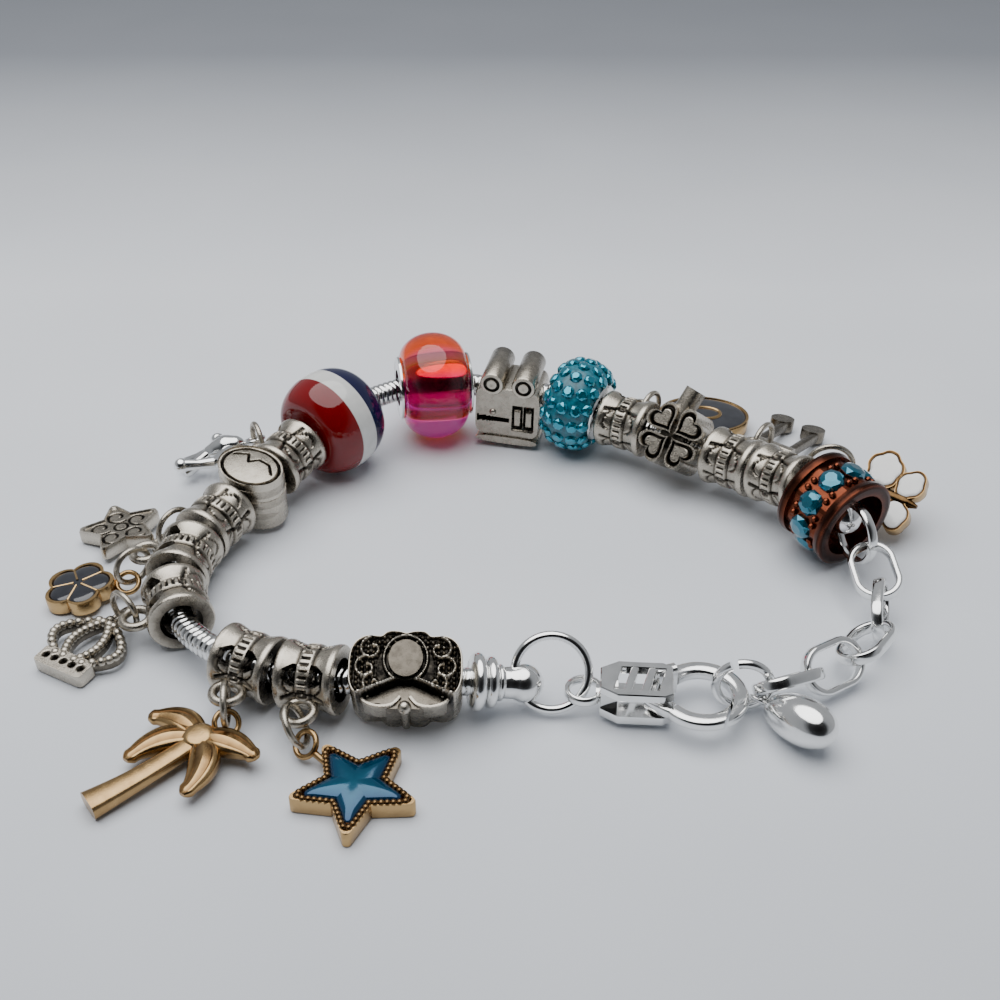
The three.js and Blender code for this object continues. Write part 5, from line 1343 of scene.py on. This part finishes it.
def star(piece, m):
    """Cast star with a rim and generic engraved curls."""
    tip = 5.7
    outline = spun(star_outline(tip, 2.9), 180)

    def relief(x, y, s):
        """Raised rim, and inside it five spirals and a circle cut into the face, dark."""
        rim = np.clip((s - 0.86) / 0.04, 0, 1)
        curls = np.zeros_like(x)
        for k in range(5):
            a = math.pi + k * TAU / 5
            cx, cy = 2.35 * math.cos(a), 2.35 * math.sin(a)
            d, w = np.hypot(x - cx, y - cy), np.arctan2(y - cy, x - cx)
            curls = np.maximum(curls, bump(d - 0.45 - 0.16 * (w + math.pi), 0.2) * (d < 1.7))
        curls = np.maximum(curls, bump(np.hypot(x, y) - 0.8, 0.2))
        cut = curls * (1 - rim)
        return 0.22 * rim - 0.22 * cut, np.clip(0.7 + 0.25 * rim - 0.95 * cut, 0.03, 1)

    at = offset(m, EYE_REACH + tip - 0.6)
    stack(piece, at, outline, slab_levels(-0.75, 0.75, 0.12, 60), "antique silver", relief)


def figure(piece, m):
    """Smooth limbs: tubes along bent paths whose radius swells and tapers."""
    limbs = [  # points along the limb, radius at each
        ([[1.3, 0, 0], [2.0, 0, 0.1], [3.6, 0, 0.2], [5.4, 0, 0], [6.6, 0, 0]], [0.5, 1.1, 1.65, 1.3, 0.8]),
        ([[2.9, 0.3, 0], [4.0, 2.5, 0.6], [5.1, 4.5, 1.0]], [0.9, 0.75, 0.7]),
        ([[5.0, 4.2, 1.0], [6.9, 4.7, 1.7], [8.8, 5.0, 2.5]], [0.75, 0.65, 0.8]),
        ([[5.6, 0, 0], [7.6, 0.8, -0.4], [9.7, 1.6, -0.85]], [1.0, 0.8, 0.8]),
        ([[5.6, 0, 0], [7.8, -0.5, -0.5], [10.1, -0.96, -1.0]], [0.95, 0.7, 0.75]),
        ([[3.0, 0, 0], [4.0, -2.2, -0.5], [5.1, -4.1, -1.0]], [1.0, 0.8, 0.9]),
    ]
    rounded_ends = np.clip(np.sin(np.linspace(0.25, 2.9, 24)) * 3, 0.3, 1)
    for points, radii in limbs:
        at = np.linspace(0, len(points) - 1, 24)
        path = along_corners(points, at)
        scale = np.interp(at, np.arange(len(points)), radii) * rounded_ends
        sweep(piece, move(m, path), circle(1.0, 14), "bright silver", hint=m[:3, 2], scale=scale, wear=0.8)
    knobs = move(m, [[8.8, 4.95, 2.4], [5.15, -4.2, -0.9]])
    beads(piece, knobs, 0.95, m[:3, 2], "bright silver", sides=16, rows=9, sink=1.2)


def oval_medal(piece, m):
    """Oval with a gold wall, a dark enamel field and a raised gold ring motif."""
    long, short = 6.3, 4.7
    at = offset(m, EYE_REACH + long - 0.3)
    outline = ellipse(long, short, 120)
    stack(piece, at, outline, slab_levels(-1.0, 1.0, 0.15, 40), "bronze gold", enamel_field(0.93))
    stack(piece, at, outline, dome(0.92, 0.01, 0.82, 1.05, 12), "black enamel")
    loop = np.concatenate([ellipse(2.2, 1.5, 80), np.full((80, 1), 1.0)], 1)
    sweep(piece, move(at, loop), circle(0.28, 10), "bronze gold", closed=True, hint=m[:3, 2], wear=0.9)


def music_note(piece, m):
    """Two stems under a cross bar, each ending in a slanted oval head."""
    silver, start, end, half = "antique silver", 1.25, 10.35, 2.3
    bar = straight([start + 0.75, -half - 0.5, 0], [start + 0.75, half + 0.5, 0], 12)
    sweep(piece, move(m, bar), band(1.5, 1.5, 20, 4), silver, hint=m[:3, 2], wear=0.8)
    for y in (-half, half):
        stem = straight([start + 0.4, y, 0], [end, y, 0], 14)
        sweep(piece, move(m, stem), band(1.0, 1.4, 16, 4), silver, hint=m[:3, 2], wear=0.42)
        head = turned(offset(m, end, y + 0.7), 2, 25)
        stack(piece, head, ellipse(1.35, 1.6, 48), slab_levels(-0.8, 0.8, 0.3, 10), silver, wear=0.5)


def wing(piece, m, cx, cy, a, b, lobes, turn):
    """Wing: an ellipse with rounded scallops, a bronze wall and a white enamel field."""
    t = angles(140)
    r = a * b / np.hypot(b * np.cos(t), a * np.sin(t))
    outline = polar(r * (1 - 0.10 * np.abs(np.sin(lobes * t / 2)) ** 4))
    at = turned(offset(m, cx, cy, 0), 2, turn)

    def relief(x, y, s):
        """Sunk inside 0.84 of the outline, dark all over."""
        return np.where(s < 0.84, -0.15, 0.0), np.where(s < 0.84, 0.02, 0.035)

    stack(piece, at, outline, slab_levels(-0.85, 0.75, 0.12, 24), "bronze gold", relief)
    stack(piece, at, outline, dome(0.83, 0.01, 0.66, 0.86, 10), "white enamel")


def butterfly(piece, m):
    """Four scalloped wings round a rounded body."""
    start, w, body = 1.25, 5.5, 8.6
    for side in (-1, 1):
        wing(piece, m, start + body * 0.32, side * w * 0.5, w * 0.435, w * 0.475, 5, side * 20)
        wing(piece, m, start + body * 0.76, side * w * 0.38, w * 0.33, w * 0.39, 4, side * -20)
    path = straight([start, 0, 0.2], [start + body - 0.2, 0, 0.2], 30)
    taper = np.clip(np.sin(np.linspace(0.2, 2.95, 30)) * 1.5, 0.3, 1)
    sweep(piece, move(m, path), circle(0.75, 16), "bronze gold", hint=m[:3, 2], scale=taper, wear=0.12)


FLAT = (0, 0, 1)
# Bail, pendant, maker, half thickness, step to the eye, eye height, direction, far reach, ring mean,
# eye mean, side that the ring leans to, way that the face looks
HANGINGS = [
    ("bail_bead_1", "starfish", starfish, 1.2, (0.9, -2.9), 1.58, -46, 0, 2.15, 1.3, (-0.5, 0, 1), FLAT),
    ("bail_bead_2", "palm_tree", palm_tree, 1.0, (0.2, -2.7), 1.9, -141, 15, 2.1, 1.25, (0, 0.3, 1), FLAT),
    ("bail_bead_3", "crown", crown, 0.8, (-2.6, 2.3), 1.5, -119, 9.6, 2.1, 1.25, FLAT, FLAT),
    ("bail_bead_4", "flower", flower, 0.9, (-3.0, -3.0), 1.7, 186, 8.5, 2.1, 1.25, FLAT, FLAT),
    ("bail_bead_5", "star", star, 0.75, (-2.6, -3.1), 1.6, 150, 11.5, 2.35, 1.25, FLAT, FLAT),
    ("bail_bead_6", "figure", figure, 2.1, (-1.6, 3.4), 4.4, 190, 10.2, 2.1, 1.25, FLAT, FLAT),
    ("bail_bead_7", "oval_medal", oval_medal, 1.0, (2.2, 3.0), 2.4, 14, 14, 2.25, 1.25, FLAT, FLAT),
    ("bail_bead_8", "music_note", music_note, 0.8, (2.4, 3.1), 2.7, 52, 11.6, 2.45, 1.3, FLAT, FLAT),
    ("bail_bead_9", "butterfly", butterfly, 0.85, (5.1, -0.2), 4.4, -42, 0, 2.85, 1.25, FLAT,
     (-0.2, -0.75, 0.9)),
]
# Metals of the pendants' own eyes; the others are bronze gold
EYE_METALS = {
    "crown": "antique silver", "star": "antique silver", "music_note": "antique silver",
    "figure": "bright silver",
}


def hang(bead, name, maker, deep, step, height, way, far, mean, eye_mean, side, looks):
    """The loop, the ring through it and the pendant's eye, and the pendant's slope down to the table."""
    m = bead_frame(bead)
    loop = move(m, [0, 0, LOOP_OFFSET])
    sink = height - loop[2]
    reach = math.sqrt((RING_SPAN * mean) ** 2 - sink ** 2)
    plan = np.array(step) * min(1.0, reach / math.hypot(*step))
    eye = loop + np.array([plan[0], plan[1], sink])
    at, way_p, way_q = ring_through(loop, eye, mean, side)
    jump = Piece("jump_ring_" + name)
    ring(jump, at, mean, 0.35, "antique silver", steps=44, wear=0.85)
    jump.place(node="ring_" + name)
    bail = Piece(bead + "_cast")
    bail_bead(bail, m, between(m[:3, 1], way_p))
    bail.place(node=bead)
    drop = math.asin(eye[2] / math.hypot(far, deep)) - math.atan2(deep, far) if far else 0.0
    down = [math.cos(rad(way)) * math.cos(drop), math.sin(rad(way)) * math.cos(drop), -math.sin(drop)]
    pendant = frame_from(eye, down, looks)
    face = pendant[:3, 2]
    toward = way_q * (1 if face @ way_q >= 0 else -1)
    charm = Piece(name + "_charm")
    maker(charm, pendant)
    eye_frame = frame_from(eye, pendant[:3, 0], unit(face + toward) + toward)
    ring(charm, eye_frame, eye_mean, 0.3, EYE_METALS.get(name, "bronze gold"), steps=32, wear=0.7)
    charm.place(node=name)


def make(name, maker, *args, node=None, body="bracelet", smooth=38):
    """Builds a piece and puts it in the place of its node."""
    piece = Piece(name)
    maker(piece, *args)
    return piece.place(body=body, node=node, smooth=smooth)


for hanging in HANGINGS:
    hang(*hanging)
make("snake_chain_scales", snake_chain, node="snake_chain")
make("end_cap_front_turned", end_cap, offset(front_axis, -CAP_LENGTH), node="end_cap_front")
make("end_cap_rear_turned", end_cap, offset(rear_axis, -CAP_LENGTH / 2), node="end_cap_rear")
for piece_name, bead_maker, bead_node, at_bead, sharp in (
    ("scroll_bead_cast", scroll_bead, "scroll_bead", "scroll_bead", 38),
    ("leaf_bead_cast", leaf_bead, "leaf_bead", "leaf_bead", 38),
    ("striped_bead_resin", striped_bead, "striped_bead", "striped_bead", 38),
    ("glass_bead_shell", glass_bead, "glass_bead", "glass_bead", 38),
    ("glass_bead_sleeve", glass_core, "glass_bead_core", "glass_bead", 38),
    ("reel_bead_cast", reel_bead, "reel_bead", "reel_bead", 38),
    ("pave_bead_set", pave_bead, "pave_bead", "pave_bead", 12),
    ("clover_bead_cast", clover_bead, "clover_bead", "clover_bead", 38),
):
    make(piece_name, bead_maker, bead_frame(at_bead), node=bead_node, smooth=sharp)
channel_frame = offset(rear_axis, 3.65 - CAP_LENGTH / 2 + SEAT_GAP / 2)
make("channel_bead_set", channel_bead, channel_frame, node="channel_bead", smooth=12)
make("clasp_body_cast", clasp_body, node="clasp_body")
make("clasp_gate_bar", clasp_gate, node="clasp_gate", body="gate")
make("big_ring_wire", ring, big_frame, BIG_MEAN, 0.475, "bright silver", 64, 14, node="big_ring")
make("open_ring_wire", open_ring, node="open_ring")
make("heart_drop_polished", heart_drop, node="heart_drop")
flat_frame = frame_at(KNOTS["flat_ring"], 0, FLAT_MEAN)
make("flat_ring_band", link, flat_frame, 7.5, 7.5, 1.1, 0.7, node="flat_ring")
LINK_ROLLS = {"link_2": -80, "link_3": 15, "link_4": -62, "link_5": 40, "link_6": -45}
for link_name, link_roll in LINK_ROLLS.items():
    link_frame = frame_at(KNOTS[link_name], link_roll, LINK_INNER)
    if link_name == "link_6":
        hook = move(open_frame, [OPEN_MEAN, 0, 0])
        link_way = unit(hook - route.at((KNOTS["link_5"] + KNOTS["link_6"]) / 2))
        link_frame = frame_from(
            hook + link_way * (OPEN_WIRE / 2 + LINK_SLACK - LINK_INNER), link_way, link_frame[:3, 2])
    make(link_name + "_band", link, link_frame, 8.0, 5.4, 1.3, 0.75, node=link_name)


# Table, light and camera

def table(piece):
    """Large sheet whose height stays at zero, with faint long waves far from the object."""
    u = np.linspace(-1, 1, 60)
    x, y = np.meshgrid(u * 900, u * 900 + 300, indexing="ij")
    far = np.clip((np.hypot(x, y) - 260) / 400, 0, 1) ** 2
    z = -0.05 - 0.4 * far * (1 + np.sin(x / 90) * np.cos(y / 110))
    top = np.stack([x, y, z], -1)
    piece.grid(top, "table", close_v=False, caps=False)


def lay_table():
    """Makes the table's mesh under the object and stages it."""
    piece = Piece("table_sheet")
    table(piece)
    points = (np.concatenate(piece.points) + SHIFT * [1, 1, 0]) * MM
    mesh = bpy.data.meshes.new("table_sheet")
    mesh.from_pydata(points.tolist(), [], piece.quads[0].tolist())
    mesh.shade_smooth()
    mesh.materials.append(material("table"))
    obj = bpy.data.objects.new("table_sheet", mesh)
    bpy.context.collection.objects.link(obj)


def light(name, at, aim, size, power, colour):
    """Round area light at a place, its face turned to its aim."""
    data = bpy.data.lights.new(name, "AREA")
    data.shape = "DISK"
    data.size = size * MM
    data.energy = power
    data.color = colour
    obj = bpy.data.objects.new(name, data)
    bpy.context.collection.objects.link(obj)
    way = unit(np.subtract(aim, at))
    m = frame_from([0, 0, 0], np.cross(way, UP) + [1e-6, 0, 0], -way)
    m[:3, 3] = np.multiply(at, MM)
    obj.matrix_world = Matrix(m.tolist())


def tent():
    """A light tent: pale all round, dark where the photographer stands."""
    world = bpy.data.worlds.new("pale room")
    world.use_nodes = True
    bpy.context.scene.world = world
    tree = world.node_tree
    facing = tree.nodes.new("ShaderNodeTexCoord")
    toward = tree.nodes.new("ShaderNodeVectorMath")
    toward.operation = "DOT_PRODUCT"
    toward.inputs[1].default_value = (0.0, -0.80, 0.60)
    tree.links.new(facing.outputs["Generated"], toward.inputs[0])
    shade = ramp(tree, toward.outputs["Value"], [
        (0.0, (0.62, 0.64, 0.67)), (0.56, (0.50, 0.52, 0.55)), (0.80, (0.05, 0.052, 0.056)),
        (1.0, (0.012, 0.012, 0.013)),
    ])
    sky = tree.nodes["Background"]
    tree.links.new(shade, sky.inputs["Color"])
    sky.inputs["Strength"].default_value = 0.62


def photo_camera(place, tilt, lens, sensor):
    """Camera at a place in the layout, tilted down by degrees from level, lens and sensor in mm."""
    data = bpy.data.cameras.new("photo_camera")
    data.lens, data.sensor_width = lens, sensor
    data.clip_start, data.clip_end = 0.005, 10
    obj = bpy.data.objects.new("photo_camera", data)
    bpy.context.collection.objects.link(obj)
    obj.location = (np.array(place) + SHIFT) * MM
    obj.rotation_euler = (rad(90 - tilt), 0, 0)
    bpy.context.scene.camera = obj


lay_table()
light("ceiling_soft", (-60, 40, 430), (0, 0, 0), 600, 3.1, (1.0, 1.0, 1.0))
tent()
photo_camera((0.0, -132.0, 100.0), 34.5, 50.4, 36)
